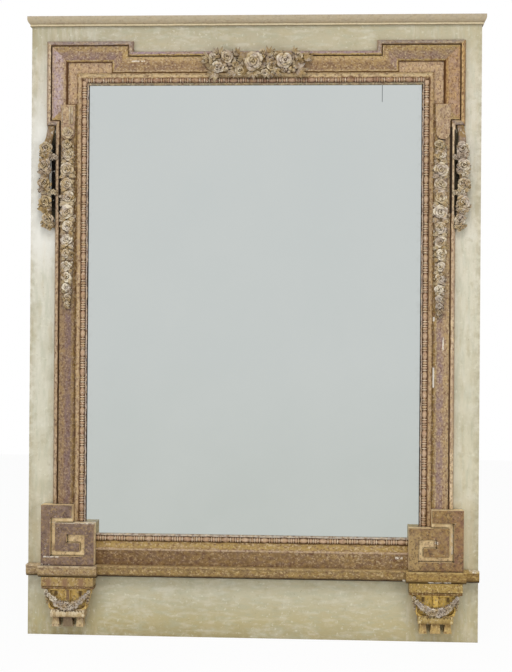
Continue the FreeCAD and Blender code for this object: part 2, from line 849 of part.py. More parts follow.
# Tablets, pendants and festoons on each stile, below the ear.
frieze_face = front + size.frieze_height
pendant_x = stile_outer - (quirk_inner + ribbon - size.frieze_bevel) / 2
tablet_top = ear_foot + ribbon - size.frieze_bevel
tablet_base = tablet_top - size.tablet_height
drop_half = size.drop_width / 2
drop_base = tablet_base - size.drop_length - drop_half
for name, side in SIDES.items():
    centre = pendant_x * side
    tablet_half = size.tablet_width / 2
    plate(f"{name}_tablet", [
        (centre - tablet_half, tablet_base),
        (centre - drop_half, tablet_base),
        (centre - drop_half, tablet_base - size.drop_length, drop_half),
        (centre, drop_base, drop_half),
        (centre + drop_half, tablet_base - size.drop_length),
        (centre + drop_half, tablet_base),
        (centre + tablet_half, tablet_base),
        (centre + tablet_half, tablet_top),
        (centre - tablet_half, tablet_top),
    ], frieze_face, size.tablet_relief)

    steps = len(pendant_width_shares) - 1
    spine = [(centre, drop_base - size.pendant_length * (i / steps)) for i in range(steps + 1)]
    widths = [size.pendant_width / 2 * share for share in pendant_width_shares]
    pendant = plate(f"{name}_pendant", chain_outline(spine, widths, size.pendant_lobe_round), frieze_face,
                    size.pendant_relief)
    places = [(centre, drop_base - size.pendant_length * share) for share in pendant_blossom_shares]
    blossoms(pendant, places, size.pendant_blossom_radius, frieze_face + size.pendant_relief,
             size.pendant_blossom_relief)

    steps = len(festoon_reach_shares) - 1
    reach = size.festoon_gap + size.festoon_width / 2
    spine = [((stile_outer + reach * share) * side, ear_foot - size.festoon_length * (i / steps))
             for i, share in enumerate(festoon_reach_shares)]
    widths = [size.festoon_width / 2 * share for share in festoon_width_shares]
    festoon_back = front + size.festoon_standoff
    festoon = plate(f"{name}_festoon", chain_outline(spine, widths, size.festoon_lobe_round), festoon_back,
                    size.festoon_relief)
    tie = sketch_on(festoon, "XZ_Plane", festoon_back)
    tie_base = ear_foot - size.festoon_length
    tie_top = tie_base + size.festoon_tie_height
    draw(tie, mirrored(rectangle(stile_outer, stile_outer + reach / 2, tie_base, tie_top), side))
    pad(festoon, tie, size.rim_edge_height - size.festoon_standoff)
    places = [((stile_outer + reach * out) * side, ear_foot - size.festoon_length * down)
              for out, down in zip(festoon_blossom_reach_shares, festoon_blossom_shares)]
    blossoms(festoon, places, size.festoon_blossom_radius, festoon_back + size.festoon_relief,
             size.festoon_blossom_relief)

# Crest: a spray of flowers across the middle of the top ribbon, seated on its rim.
crest_back = front + size.rim_height
crest_middle = sight_outer_top - size.crest_drop_below_ribbon + size.crest_rise / 2
steps = len(crest_top_shares) - 1
crest_x = [size.crest_width * (i / steps) - size.crest_width / 2 for i in range(steps + 1)]
upper = [(u, crest_middle + size.crest_rise / 2 * share, size.crest_lobe_round * -1)
         for u, share in zip(crest_x, crest_top_shares)]
lower = [(u, crest_middle - size.crest_rise / 2 * share, size.crest_lobe_round * -1)
         for u, share in zip(crest_x, crest_bottom_shares)]
lower.reverse()
upper[-1] = upper[-1][:2]
lower[-1] = lower[-1][:2]
crest = plate("crest_spray", upper + lower, crest_back, size.crest_relief)
blossoms(crest, [(size.crest_blossom_pitch * step, crest_middle) for step in (-1, 0, 1)],
         size.crest_blossom_radius, crest_back + size.crest_relief, size.crest_blossom_relief)

# Hangers: two straps with rolled eyes on the back of the top rail, a swinging ring in each, four cut nails.
eye_inner = size.pivot_radius + size.eye_clearance
eye_outer = eye_inner + size.strap_thickness
pivot_y = eye_outer - rail_back
pivot_z = size.ground_height - size.hanger_top_height
strap_face = size.strap_thickness - rail_back
hanger_x = stile_inner - size.hanger_inset
nail_level = pivot_z - eye_outer - size.nail_inset
nail_levels = (nail_level, nail_level - size.nail_pitch)
nail_places = [(hanger_x * side, level) for side in SIDES.values() for level in nail_levels]
straps = new_body("hanger_straps")
for side in SIDES.values():
    leaf = sketch_on(straps, "YZ_Plane", hanger_x * side)
    draw(leaf, rectangle(-rail_back, strap_face, pivot_z - size.strap_length, pivot_z))
    pad(straps, leaf, size.strap_width, symmetric=True)
    eye = sketch_on(straps, "YZ_Plane", hanger_x * side)
    draw_circle(eye, pivot_y, pivot_z, eye_outer)
    pad(straps, eye, size.strap_width, symmetric=True)
    bore = sketch_on(straps, "YZ_Plane", hanger_x * side)
    draw_circle(bore, pivot_y, pivot_z, eye_inner)
    pocket(straps, bore)


def squares(body, side_length, back):
    """A square at each nail, drawn from the front."""
    sketch = sketch_on(body, "XZ_Plane", back)
    half = side_length / 2
    for u, v in nail_places:
        draw(sketch, rectangle(u - half, u + half, v - half, v + half))
    return sketch


# The nails' square heads are let in flush with the straps.
nails = new_body("hanger_nails")
pad(nails, squares(nails, size.nail_head, -strap_face), size.nail_head_thickness)
pad(nails, squares(nails, size.nail_shank, -strap_face), size.nail_length)
pocket(straps, squares(straps, size.nail_head, -strap_face), size.nail_head_thickness, along_normal=True)
pocket(straps, squares(straps, size.nail_shank, -strap_face), size.strap_thickness, along_normal=True)
nail_holes = squares(rails["top_rail"], size.nail_shank, rail_back)
pocket(rails["top_rail"], nail_holes, size.nail_length - size.strap_thickness, along_normal=True)

for name, side in SIDES.items():
    centre = hanger_x * side
    half_ring = size.ring_width / 2
    inside = half_ring - size.ring_bar
    ring_top = pivot_z + size.pivot_radius
    ring_base = pivot_z - size.ring_length
    corner = size.ring_corner
    bend = corner - size.ring_bar
    ring = plate(f"{name}_ring", [
        (centre - half_ring, ring_top),
        (centre - half_ring, ring_base + corner, corner),
        (centre - half_ring + corner, ring_base),
        (centre + half_ring - corner, ring_base, corner),
        (centre + half_ring, ring_base + corner),
        (centre + half_ring, ring_top),
        (centre + inside, ring_top),
        (centre + inside, ring_base + corner, -bend),
        (centre + half_ring - corner, ring_base + size.ring_bar),
        (centre - half_ring + corner, ring_base + size.ring_bar, -bend),
        (centre - inside, ring_base + corner),
        (centre - inside, ring_top),
    ], -pivot_y - size.pivot_radius, size.pivot_radius * 2)
    pin = sketch_on(ring, "YZ_Plane", centre)
    draw_circle(pin, pivot_y, pivot_z, size.pivot_radius)
    pad(ring, pin, size.ring_width, symmetric=True)

doc.recompute()
for item in doc.Objects:
    if {"Invalid", "Error"} & set(item.State):
        raise RuntimeError(f"{item.Name} did not rebuild: {item.State}")
    if item.TypeId == "PartDesign::Pocket":
        if item.Shape.Volume >= item.BaseFeature.Shape.Volume:
            raise RuntimeError(f"{item.Name} cuts nothing")
for body in bodies:
    if body.Shape.isNull() or not body.Shape.isValid():
        raise RuntimeError(f"{body.Label} has no sound shape")

os.makedirs("parts", exist_ok=True)
for body in bodies:
    body.Shape.exportStep(f"parts/{body.Label}.step")
    print(body.Label, len(body.Shape.Solids), round(body.Shape.Volume))
print(len(bodies), "sub-parts")
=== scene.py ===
import math
import random

import bmesh
import bpy
from mathutils import Matrix, Vector


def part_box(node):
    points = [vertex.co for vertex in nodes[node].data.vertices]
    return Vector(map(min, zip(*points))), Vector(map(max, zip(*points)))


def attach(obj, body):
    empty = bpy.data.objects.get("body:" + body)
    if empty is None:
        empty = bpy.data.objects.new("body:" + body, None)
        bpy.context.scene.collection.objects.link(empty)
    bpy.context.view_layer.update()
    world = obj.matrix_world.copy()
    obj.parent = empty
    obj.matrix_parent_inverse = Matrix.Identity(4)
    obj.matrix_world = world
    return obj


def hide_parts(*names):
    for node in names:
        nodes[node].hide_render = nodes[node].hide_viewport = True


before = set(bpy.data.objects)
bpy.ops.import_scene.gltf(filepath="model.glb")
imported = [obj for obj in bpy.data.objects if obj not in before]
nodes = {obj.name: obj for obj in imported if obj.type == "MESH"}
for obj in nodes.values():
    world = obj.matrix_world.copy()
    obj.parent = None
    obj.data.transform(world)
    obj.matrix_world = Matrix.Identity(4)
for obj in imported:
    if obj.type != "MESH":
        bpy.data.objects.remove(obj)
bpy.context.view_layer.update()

# Painted ground: two stiles and three rails of pine, mortised, pegged and painted on the front and edges
# with distemper that has gone grey-green, warm at the head and foot. The backs were left bare.

MM = 0.001
GROUND_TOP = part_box("top_rail")[1].z
GROUND_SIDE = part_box("right_stile")[1].x
RUBBED_EDGE = 25
CRUMB = 4
# how patterns stretch along a rail or up a stile: the long grain of bare wood, and shorter brush streaks
ALONG_X = (0.05, 1, 1)
ALONG_Z = (1, 1, 0.05)
BRUSHED_X = (0.3, 1, 1)
BRUSHED_Z = (1, 1, 0.2)


def linear(hex_colour):
    """An sRGB hex value as a linear colour."""
    channels = []
    for place in (1, 3, 5):
        value = int(hex_colour[place:place + 2], 16) / 255
        channels.append(value / 12.92 if value <= 0.04045 else ((value + 0.055) / 1.055) ** 2.4)
    return (*channels, 1.0)


def add(tree, kind, links=None, out=None, stops=(), **settings):
    """Adds a node. links gives each input a value, a hex colour or an output; stops are a ramp's colours."""
    node = tree.nodes.new("ShaderNode" + kind)
    for name, value in settings.items():
        setattr(node, name, value)
    for socket, source in (links or {}).items():
        if isinstance(source, bpy.types.NodeSocket):
            tree.links.new(source, node.inputs[socket])
        else:
            node.inputs[socket].default_value = linear(source) if isinstance(source, str) else source
    for i, (place, colour) in enumerate(stops):
        elements = node.color_ramp.elements
        if i == 0:
            elements.remove(elements[1])
        element = elements.new(place) if i else elements[0]
        element.position = place
        element.color = linear(colour)
    return node if out is None else node.outputs[out]


def new_finish(name, **sockets):
    """An empty material with its shader; sockets are values that are the same all over."""
    material = bpy.data.materials.new(name)
    material.use_nodes = True
    tree = material.node_tree
    tree.nodes.clear()
    shader = add(tree, "BsdfPrincipled", {key.replace("_", " "): value for key, value in sockets.items()})
    add(tree, "OutputMaterial", {"Surface": shader.outputs["BSDF"]})
    return material, tree, shader


def patches(tree, place, size_mm, low, high, amount=1.0, stretch=(1, 1, 1)):
    """A mask of soft patches about size_mm across, where noise lies between two levels, up to amount."""
    scaled = add(tree, "VectorMath", {0: place, 1: stretch}, 0, operation="MULTIPLY")
    noise = add(tree, "TexNoise", {"Vector": scaled, "Scale": 1 / (size_mm * MM * 2), "Detail": 4.0,
                                   "Roughness": 0.6}, 0)
    return add(tree, "MapRange", {"Value": noise, "From Min": low, "From Max": high, "To Max": amount}, 0)


def wear(tree, place, colour, layers, stretch=(1, 1, 1)):
    """Lays worn patches on a colour. A layer is (size in mm, low and high noise, amount, hex colour)."""
    for size_mm, low, high, amount, top in layers:
        mask = patches(tree, place, size_mm, low, high, amount, stretch)
        colour = add(tree, "Mix", {0: mask, 6: colour, 7: top}, 2, data_type="RGBA")
    return colour


def spot(tree, place, colour, top, x_range, z_range, soft_mm, amount=1.0, broken=False):
    """One stain, one patch of painted shade or, broken into crumbs, one chip inside a window of the front, in
    millimetres.
    """
    axes = add(tree, "SeparateXYZ", {0: place})
    size_mm, thin, full = (CRUMB, 0.43, 0.52) if broken else (soft_mm, 0.2, 0.36)
    mask = patches(tree, place, size_mm, thin, full, amount)
    for axis, (low, high) in (("X", x_range), ("Z", z_range)):
        for edge, inside in ((low, low + soft_mm), (high, high - soft_mm)):
            side = add(tree, "MapRange", {"Value": axes.outputs[axis], "From Min": edge * MM,
                                          "From Max": inside * MM}, 0)
            mask = add(tree, "Math", {0: mask, 1: side}, 0, operation="MULTIPLY")
    return add(tree, "Mix", {0: mask, 6: colour, 7: top}, 2, data_type="RGBA")


def bare_back(tree, place, colour, grain):
    """Leaves the faces turned to the wall as bare pine, brown with age, its grain about 4 mm wide."""
    wood = add(tree, "ValToRGB", {"Fac": patches(tree, place, 4, 0.3, 0.7, 1.0, grain)}, 0,
               stops=[(0.0, "#8A6A47"), (0.45, "#A98558"), (1.0, "#BE9C6C")])
    wood = wear(tree, place, wood, [(120, 0.5, 0.75, 0.6, "#6F5438")])
    normal = add(tree, "NewGeometry", out="True Normal")
    facing = add(tree, "MapRange", {"Value": add(tree, "SeparateXYZ", {0: normal}, "Y"), "From Min": 0.4,
                                    "From Max": 0.6}, 0)
    return add(tree, "Mix", {0: facing, 6: colour, 7: wood}, 2, data_type="RGBA")


def dirt_and_painted_shade(tree, colour, reach_mm, dirt_and_shade, undarkened_at=0.6, darkest_at=0.05):
    """Darkens corners and hollows where other faces stand within reach_mm: partly dirt, partly painted shade.
    """
    open_air = add(tree, "AmbientOcclusion", {"Distance": reach_mm * MM}, "AO", samples=6)
    undarkened = add(tree, "MapRange", {"Value": open_air, "From Min": darkest_at, "From Max": undarkened_at}, 0)
    return add(tree, "Mix", {0: undarkened, 6: dirt_and_shade, 7: colour}, 2, data_type="RGBA")


def surface(tree, shader, colour, place, grain_mm, depth_mm, stretch=(1, 1, 1)):
    """Joins a colour to its shader, with a fine relief."""
    tree.links.new(colour, shader.inputs["Base Color"])
    marks = patches(tree, place, grain_mm, 0.3, 0.7, 1.0, stretch)
    relief = add(tree, "Bump", {"Height": marks, "Strength": 0.3, "Distance": depth_mm * MM}, 0)
    tree.links.new(relief, shader.inputs["Normal"])


def dress(material, *names):
    """Gives CAD nodes their finish."""
    for name in names:
        slots = nodes[name].data.materials
        slots.clear()
        slots.append(material)


# Distemper is chalky: no shine, brush streaks 5 to 10 mm wide along each board, stains, worn outer edges.
def grey_green_distemper(name, brushed, grain):
    material, tree, shader = new_finish(name, Roughness=0.85, IOR=1.45, Specular_IOR_Level=0.25)
    place = add(tree, "TexCoord", out="Object")
    axes = add(tree, "SeparateXYZ", {0: place})
    height = add(tree, "MapRange", {"Value": axes.outputs["Z"], "From Max": GROUND_TOP}, 0)
    # a slight darkening just under the ledge is painted shade
    paint = add(tree, "ValToRGB", {"Fac": height}, 0, stops=[
        (0.0, "#A0936C"), (0.027, "#B6AA82"), (0.07, "#BFB99F"), (0.107, "#BDB599"), (0.188, "#C4BCA5"),
        (0.242, "#CBC5AE"), (0.376, "#CFCBB8"), (0.537, "#D0CDBD"), (0.644, "#D6D2C4"), (0.806, "#D0CBBF"),
        (0.94, "#CEC7B5"), (0.962, "#BCB39A"), (1.0, "#ADA58B")])
    # light has yellowed the right side
    sunny = add(tree, "MapRange", {"Value": axes.outputs["X"], "From Min": -0.2, "From Max": 0.7,
                                   "To Max": 0.3}, 0)
    paint = add(tree, "Mix", {0: sunny, 6: paint, 7: "#D6CBA8"}, 2, data_type="RGBA")
    paint = wear(tree, place, paint, [(8, 0.48, 0.62, 0.36, "#B0B29C"), (7, 0.5, 0.64, 0.26, "#E2DDCF"),
                                      (10, 0.52, 0.66, 0.35, "#BFB18E")], brushed)
    paint = wear(tree, place, paint, [(45, 0.5, 0.7, 0.35, "#A8A183"), (30, 0.55, 0.75, 0.35, "#DCDACF"),
                                      (12, 0.58, 0.68, 0.3, "#AAA07E"), (5, 0.6, 0.68, 0.4, "#E0DECC"),
                                      (2.4, 0.66, 0.72, 0.5, "#7E6F4E")])
    side = add(tree, "Math", {0: axes.outputs["X"]}, 0, operation="ABSOLUTE")
    edge = add(tree, "MapRange", {"Value": side, "From Min": GROUND_SIDE - RUBBED_EDGE * MM,
                                  "From Max": GROUND_SIDE + 2 * MM, "To Max": 0.6}, 0)
    rubbed = add(tree, "Math", {0: edge, 1: patches(tree, place, 9, 0.4, 0.6)}, 0, operation="MULTIPLY")
    paint = add(tree, "Mix", {0: rubbed, 6: paint, 7: "#9A8E6C"}, 2, data_type="RGBA")
    # the left stile was washed paler round the festoon
    paint = spot(tree, place, paint, "#EAE9E3", (-780, -500), (1090, 1660), 110, 0.6)
    # the strips behind the festoons are painted black: painted shadow for the deep gaps behind the festoons
    paint = spot(tree, place, paint, "#0C0906", (-624, -606), (1272, 1538), 3)
    paint = spot(tree, place, paint, "#0C0906", (606, 627), (1272, 1538), 3)
    # darker round the frame, brackets and carving: dust in the corners and painted shade
    paint = dirt_and_painted_shade(tree, paint, 14, "#7C735A")
    surface(tree, shader, bare_back(tree, place, paint, grain), place, 3, 0.6, brushed)
    return material


dress(grey_green_distemper("grey_green_distemper_upright", BRUSHED_Z, ALONG_Z), "left_stile", "right_stile")
dress(grey_green_distemper("grey_green_distemper_level", BRUSHED_X, ALONG_X),
      "top_rail", "middle_rail", "bottom_rail")

# Backing panels and pegs: thin bare pine in grooves behind the glass, and square pegs through the tenons.
# Only their backs show; they were planed, left unfinished and darkened with dust.

# Planed pine without a finish is dull and brown, with grain lines about 4 mm wide.
planed_pine, tree, shader = new_finish("planed_pine", Roughness=0.7, IOR=1.45)
place = add(tree, "TexCoord", out="Object")
surface(tree, shader, bare_back(tree, place, "#9C7A50", ALONG_Z), place, 6, 0.5, ALONG_Z)
dress(planed_pine, "lower_panel", "upper_panel", "joint_pegs")

# Cornice: a moulded cap board with mitred returns, nailed to the top rail. It was painted with the ground,
# and smoke has turned it grey-brown except along the lower fillet.

RUN_X = (0.75, 1, 1)
RUN_Z = (1, 1, 0.75)
RAGGED = 2.0
QUIRK_DARKNESS = 0.35
GESSO = "#EFE7D8"
# near-black used as painted shadow behind the festoons
FESTOON_SHADOW = "#120C07"


# Old leaf on gesso: matt gold that is rubbed along the run to mauve size, red bole and white gesso, brown in
# the quirks with dirt and painted shade. bands are (millimetres, hex colour) across the moulding, inward from
# a node's edge on an axis; their darkest stripes are painted shade in quirks, along lips and under the ledge.
# tints shade its left and right ends; scars are (hex colour, soft edge, x range, z range), crumbled in gesso,
# and some scars are painted shadow rather than damage.
def worn_gilding(name, node, axis, inward, bands, run, mauve=0.5, chips=0.3, tints=None, scars_and_shadows=(), rub=1.0):
    low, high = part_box(node)
    outer = getattr(high if inward < 0 else low, axis.lower())
    material, tree, shader = new_finish(name, Metallic=0.2, IOR=1.45, Specular_IOR_Level=0.3)
    place = add(tree, "TexCoord", out="Object")
    axes = add(tree, "SeparateXYZ", {0: place})
    distance = axes.outputs[axis]
    if axis == "X":
        distance = add(tree, "Math", {0: distance}, 0, operation="ABSOLUTE")
    ragged = add(tree, "MapRange", {"Value": patches(tree, place, 13, 0.25, 0.75),
                                    "To Min": -RAGGED * MM * rub, "To Max": RAGGED * MM * rub}, 0)
    distance = add(tree, "Math", {0: distance, 1: ragged}, 0, operation="ADD")
    width = bands[-1][0]
    across = add(tree, "MapRange", {"Value": distance, "From Min": outer,
                                    "From Max": outer + width * inward * MM}, 0)
    leaf = add(tree, "ValToRGB", {"Fac": across}, 0, stops=[(mm / width, colour) for mm, colour in bands])
    quirks = []
    for mm, colour in bands:
        dark = sum(linear(colour)[:3]) < QUIRK_DARKNESS
        quirks.append((mm / width, "#FFFFFF" if dark else "#000000"))
    worn = wear(tree, place, leaf, [
        (7, 0.44, 0.6, 0.42 * rub, "#BC9E68"), (6, 0.46, 0.6, mauve * rub, "#8A726A"),
        (3, 0.5, 0.62, 0.45 * rub, "#5C452C"), (2.6, 0.54, 0.64, 0.62 * rub, "#DAC4A0"),
        (3, 0.58, 0.66, 0.45 * rub, "#7A4A34")], run)
    worn = wear(tree, place, worn, [(3, 0.64, 0.69, chips, "#EADFCB")])
    dark_stripes = add(tree, "ValToRGB", {"Fac": across}, 0, stops=quirks)
    leaf = add(tree, "Mix", {0: dark_stripes, 6: worn, 7: leaf}, 2, data_type="RGBA")
    if tints:
        span = add(tree, "MapRange", {"Value": axes.outputs["X"], "From Min": -0.6, "From Max": 0.6}, 0)
        tint = add(tree, "ValToRGB", {"Fac": span}, 0, stops=[(0.0, tints[0]), (1.0, tints[1])])
        leaf = add(tree, "Mix", {0: 1.0, 6: leaf, 7: tint}, 2, data_type="RGBA", blend_type="MULTIPLY")
    for top, soft_mm, x_range, z_range in scars_and_shadows:
        leaf = spot(tree, place, leaf, top, x_range, z_range, soft_mm, 0.85, top == GESSO)
    leaf = dirt_and_painted_shade(tree, leaf, 9, "#3A2818")
    polish = add(tree, "MapRange", {"Value": patches(tree, place, 9, 0.3, 0.7), "To Min": 0.45,
                                    "To Max": 0.7}, 0)
    tree.links.new(polish, shader.inputs["Roughness"])
    surface(tree, shader, bare_back(tree, place, leaf, run), place, 2.5, 0.6)
    return material


# Smoked distemper has the same layers with hardly any rub: flat grey-brown, pale along the fillet.
# the dark band at the foot is a painted shadow line under the fillet
cornice_bands = [(0, "#84755A"), (1.5, "#C4B694"), (3, "#DACDAC"), (5.5, "#D2C4A2"), (6.5, "#9C8C70"),
                 (9, "#B0A288"), (20, "#B6A98F"), (30, "#B8AB94")]
dress(worn_gilding("smoked_distemper", "cornice_front", "Z", 1, cornice_bands, RUN_X, 0.25, 0.15, rub=0.25),
      "cornice_front", "cornice_left_return", "cornice_right_return")

# Sight mouldings round the glass: pine run with planes to a hollow, a flat seat for the bead string and a lip
# over the plate, mitred, coated in gesso and bole and water gilded.

# the dark stripes from 34.3 mm, on the lip beside the glass, are painted shade
side_bands = [(0, "#80643E"), (2, "#8C704A"), (3.2, "#B89C76"), (6, "#C8AE8A"), (11, "#B89C78"),
              (12.5, "#74583C"), (14, "#664C36"), (30.5, "#664C36"), (31.5, "#CDBEB0"), (33, "#C2B4AC"),
              (34.3, "#7A6E66"), (35, "#3E352C"), (37, "#342E28")]
dress(worn_gilding("gilt_hollow_upright", "right_sight", "X", -1, side_bands, RUN_Z, 0.35, 0.3,
                   ("#FFFFFF", "#F6F2EC")), "left_sight", "right_sight")
head_bands = [(0, "#7A5A34"), (1.5, "#C6AC82"), (8, "#D6C096"), (12, "#BEA47A"), (13.5, "#7A5E42"),
              (30.5, "#705640"), (31.5, "#9A917A"), (34, "#8E866E"), (37, "#6E6852")]
dress(worn_gilding("gilt_hollow_head", "top_sight", "Z", -1, head_bands, RUN_X, 0.3), "top_sight")
foot_bands = [(0, "#B99F84"), (5, "#BCA288"), (6, "#9C8252"), (12, "#AD9258"), (24.5, "#A48850"),
              (26, "#5A4226"), (43.5, "#6A5238"), (44.5, "#BEB2A6"), (47, "#B6ACA0"), (50, "#A69E92")]
dress(worn_gilding("gilt_hollow_foot", "bottom_sight", "Z", 1, foot_bands, RUN_X, 0.25), "bottom_sight")

# Bead and reel: strings carved from half-round stock, one long bead and two short ones between thin discs,
# glued into the seat and gilded. The leaf has gone from the beads down to mauve size, and it clings to the
# discs.

low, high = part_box("right_bead")
BEAD_RADIUS = (high.x - low.x) / 2 / MM
BEAD_SEAT = high.y / MM
BEAD_PITCH = 58.9
BEAD_NECK_SHARE = 0.2
UNDER_TOP_STRING = 8
# beads and discs along one pitch; a disc's profile is (place along it, share of the radius)
BEADS = ((1.8, 12.4), (16.0, 26.6), (30.2, 57.1))
DISC_PLACES = (0.0, 14.2, 28.4)
DISC_PROFILE = ((-1.7, 0.6), (-0.9, 1.0), (0.9, 1.0), (1.7, 0.6))
BEAD_RINGS = 7
AROUND = 9


def solid_mesh(name, points, faces, tones):
    """A piece from points and faces in millimetres; each point's tone paints shade, 0 in hollows, to
    highlight, 1 on crests.
    """
    mesh = bpy.data.meshes.new(name)
    mesh.from_pydata([tuple(value * MM for value in point) for point in points], [], faces)
    shaped = bmesh.new()
    shaped.from_mesh(mesh)
    bmesh.ops.recalc_face_normals(shaped, faces=shaped.faces)
    shaped.to_mesh(mesh)
    shaped.free()
    tone = mesh.attributes.new("tone", "FLOAT", "POINT")
    tone.data.foreach_set("value", [min(1.0, max(0.0, value)) for value in tones])
    mesh.polygons.foreach_set("use_smooth", [True] * len(mesh.polygons))
    piece = bpy.data.objects.new(name, mesh)
    bpy.context.scene.collection.objects.link(piece)
    return piece


# Gilt and painted carving: matt, coloured by the carver's depth, rubbed pale on the crests, dark in hollows:
# the depth colour is painted shade in hollows and painted highlight on crests, over real dirt and rubbing.
def carved_finish(name, stops, layers, reach_mm, dirt_and_shade="#1E150C"):
    material, tree, shader = new_finish(name, Metallic=0.15, Roughness=0.6, IOR=1.45, Specular_IOR_Level=0.3)
    place = add(tree, "TexCoord", out="Object")
    tone = add(tree, "Attribute", out="Fac", attribute_name="tone")
    colour = wear(tree, place, add(tree, "ValToRGB", {"Fac": tone}, 0, stops=stops), layers)
    surface(tree, shader, dirt_and_painted_shade(tree, colour, reach_mm, dirt_and_shade), place, 2, 0.6)
    return material


def bead_string(side, axis, cut_start, cut_end, material):
    """The string on one side of the glass, along x or z, cut short at its ends by these millimetres."""
    low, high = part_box(f"{side}_bead")
    centre = (low + high) / 2 / MM
    start = getattr(low, axis) / MM + cut_start
    end = getattr(high, axis) / MM - cut_end
    rings = []
    pitch_at = start
    while pitch_at < end:
        for first, last in BEADS:
            for i in range(BEAD_RINGS):
                share = i / (BEAD_RINGS - 1)
                swell = math.sqrt(max(BEAD_NECK_SHARE, 1 - (2 * share - 1) ** 2))
                rings.append((pitch_at + first + share * (last - first), swell * BEAD_RADIUS, 0.55 * swell))
        for place in DISC_PLACES:
            for offset, share in DISC_PROFILE:
                rings.append((pitch_at + place + offset, share * BEAD_RADIUS, share))
        pitch_at += BEAD_PITCH
    rings = sorted(ring for ring in rings if start <= ring[0] <= end)
    points, faces, tones = [], [], []
    for along, radius, light in rings:
        for k in range(AROUND):
            angle = math.pi * k / (AROUND - 1)
            sideways = math.cos(angle) * radius
            out = BEAD_SEAT - math.sin(angle) * radius
            if axis == "x":
                points.append((along, out, centre.z + sideways))
            else:
                points.append((centre.x + sideways, out, along))
            # the tone paints a highlight on the front of each bead and disc and shade on their flanks
            tones.append(light * (0.25 + 0.75 * math.sin(angle)))
    for i in range(len(rings) - 1):
        for k in range(AROUND):
            a = i * AROUND + k
            b = i * AROUND + (k + 1) % AROUND
            faces.append((a, b, b + AROUND, a + AROUND))
    faces.append(tuple(range(AROUND)))
    faces.append(tuple((len(rings) - 1) * AROUND + k for k in range(AROUND)))
    piece = solid_mesh(f"{side}_bead_and_reel", points, faces, tones)
    piece.data.materials.append(material)
    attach(piece, "mirror")
    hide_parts(f"{side}_bead")


rubbed_beads = carved_finish(
    "rubbed_gilt_beads", [(0.0, "#52382A"), (0.25, "#947460"), (0.62, "#BCA084"), (1.0, "#E4D3B6")],
    [(12, 0.46, 0.6, 0.6, "#8C614A"), (7, 0.5, 0.64, 0.5, "#A98C5C"), (5, 0.54, 0.64, 0.5, "#5E4630"),
     (3, 0.6, 0.68, 0.65, "#E6D9C6")], 3)
pale_beads = carved_finish(
    "pale_gilt_beads", [(0.0, "#6A4C38"), (0.25, "#A4866C"), (0.62, "#D0B496"), (1.0, "#E8D8BC")],
    [(12, 0.46, 0.6, 0.45, "#A98064"), (7, 0.5, 0.64, 0.45, "#B89C6C"), (5, 0.54, 0.64, 0.45, "#6E5238"),
     (3, 0.6, 0.68, 0.65, "#E8DCC8")], 3)
bead_string("left", "z", 0, UNDER_TOP_STRING, pale_beads)
bead_string("right", "z", 0, UNDER_TOP_STRING, pale_beads)
bead_string("top", "x", BEAD_RADIUS, BEAD_RADIUS, rubbed_beads)
bead_string("bottom", "x", 0, 0, pale_beads)

# Eared ribbon: eleven mitred lengths of one moulding, glued to the ground: a rounded rim, a quirk and a flat
# frieze. The rim is toned lilac-grey, the quirk is black with dirt and painted shade, and the frieze is worn
# through to mauve.

RUBBED_BOLE = "#967660"
SCRAPED_GESSO = "#F2ECE0"

stile_bands = [(0, "#A68F74"), (2.5, "#B29B80"), (3.5, "#E2CAA8"), (11, "#DCC4A0"), (12.2, "#785A3A"),
               (13, "#644828"), (14.5, "#6C5034"), (15.6, "#A88D66"), (22, "#B09672"), (32, "#A88D6E"),
               (36, "#9B8378"), (42, "#937B76"), (52, "#957E76"), (55, "#A48D68"), (58.5, "#A08862"),
               (60, "#866A3C"), (66, "#80622F")]
# on the right the rim is rubbed and the frieze chipped; behind the festoons quirks and rim edge are painted
# shadow
stile_scars_and_shadows = [(RUBBED_BOLE, 30, (588, 690), (960, 1270)), (RUBBED_BOLE, 30, (588, 690), (560, 890)),
               (GESSO, 1.5, (571, 576), (876, 922)), (SCRAPED_GESSO, 1.2, (538, 548), (767, 828)),
               (SCRAPED_GESSO, 1.2, (540, 548), (966, 980)), (FESTOON_SHADOW, 3, (587, 599), (1290, 1552)),
               (FESTOON_SHADOW, 3, (601, 613), (1284, 1545)), (FESTOON_SHADOW, 3, (-599, -588), (1290, 1500))]
dress(worn_gilding("gilt_ribbon_stile", "right_stile_ribbon", "X", -1, stile_bands, RUN_Z, 0.45, 0.3,
                   ("#DBD6D6", "#FFFFFF"), stile_scars_and_shadows), "left_stile_ribbon", "right_stile_ribbon")
head_ribbon = [(0, "#8A7670"), (3, "#A8929A"), (9, "#A58F8C"), (11, "#B39A58"), (13.5, "#A68B50"),
               (14.5, "#644A2E"), (16.5, "#6E5234"), (17.5, "#B99E66"), (24, "#C4A97C"), (30, "#B4966A"),
               (36, "#9A7D58"), (52, "#917556"), (58, "#957A5C"), (61, "#BFA67E"), (62.5, "#B39872"),
               (63.5, "#785834"), (66, "#6C4C2C")]
dress(worn_gilding("gilt_ribbon_head", "top_ribbon", "Z", -1, head_ribbon, RUN_X, 0.3,
                   tints=("#F8F8FF", "#F4F2EE"), scars_and_shadows=[(GESSO, 1.5, (-376, -334), (1750, 1755))]),
      "top_ribbon")
ear_bands = [(0, "#8A7670"), (3, "#9E8E84"), (11.5, "#9A8A7E"), (12.8, "#785A3A"), (15, "#7E6040"),
             (17, "#AC905E"), (31, "#A88C60"), (37, "#937966"), (57, "#90766A"), (60, "#AA8E58"),
             (63, "#A48852"), (64, "#6B4A2A"), (66, "#5E4024")]
dress(worn_gilding("gilt_ribbon_ear_top", "right_ear_top", "Z", -1, ear_bands, RUN_X, 0.4,
                   tints=("#F4F5FF", "#F2F3EE")), "left_ear_top", "right_ear_top")
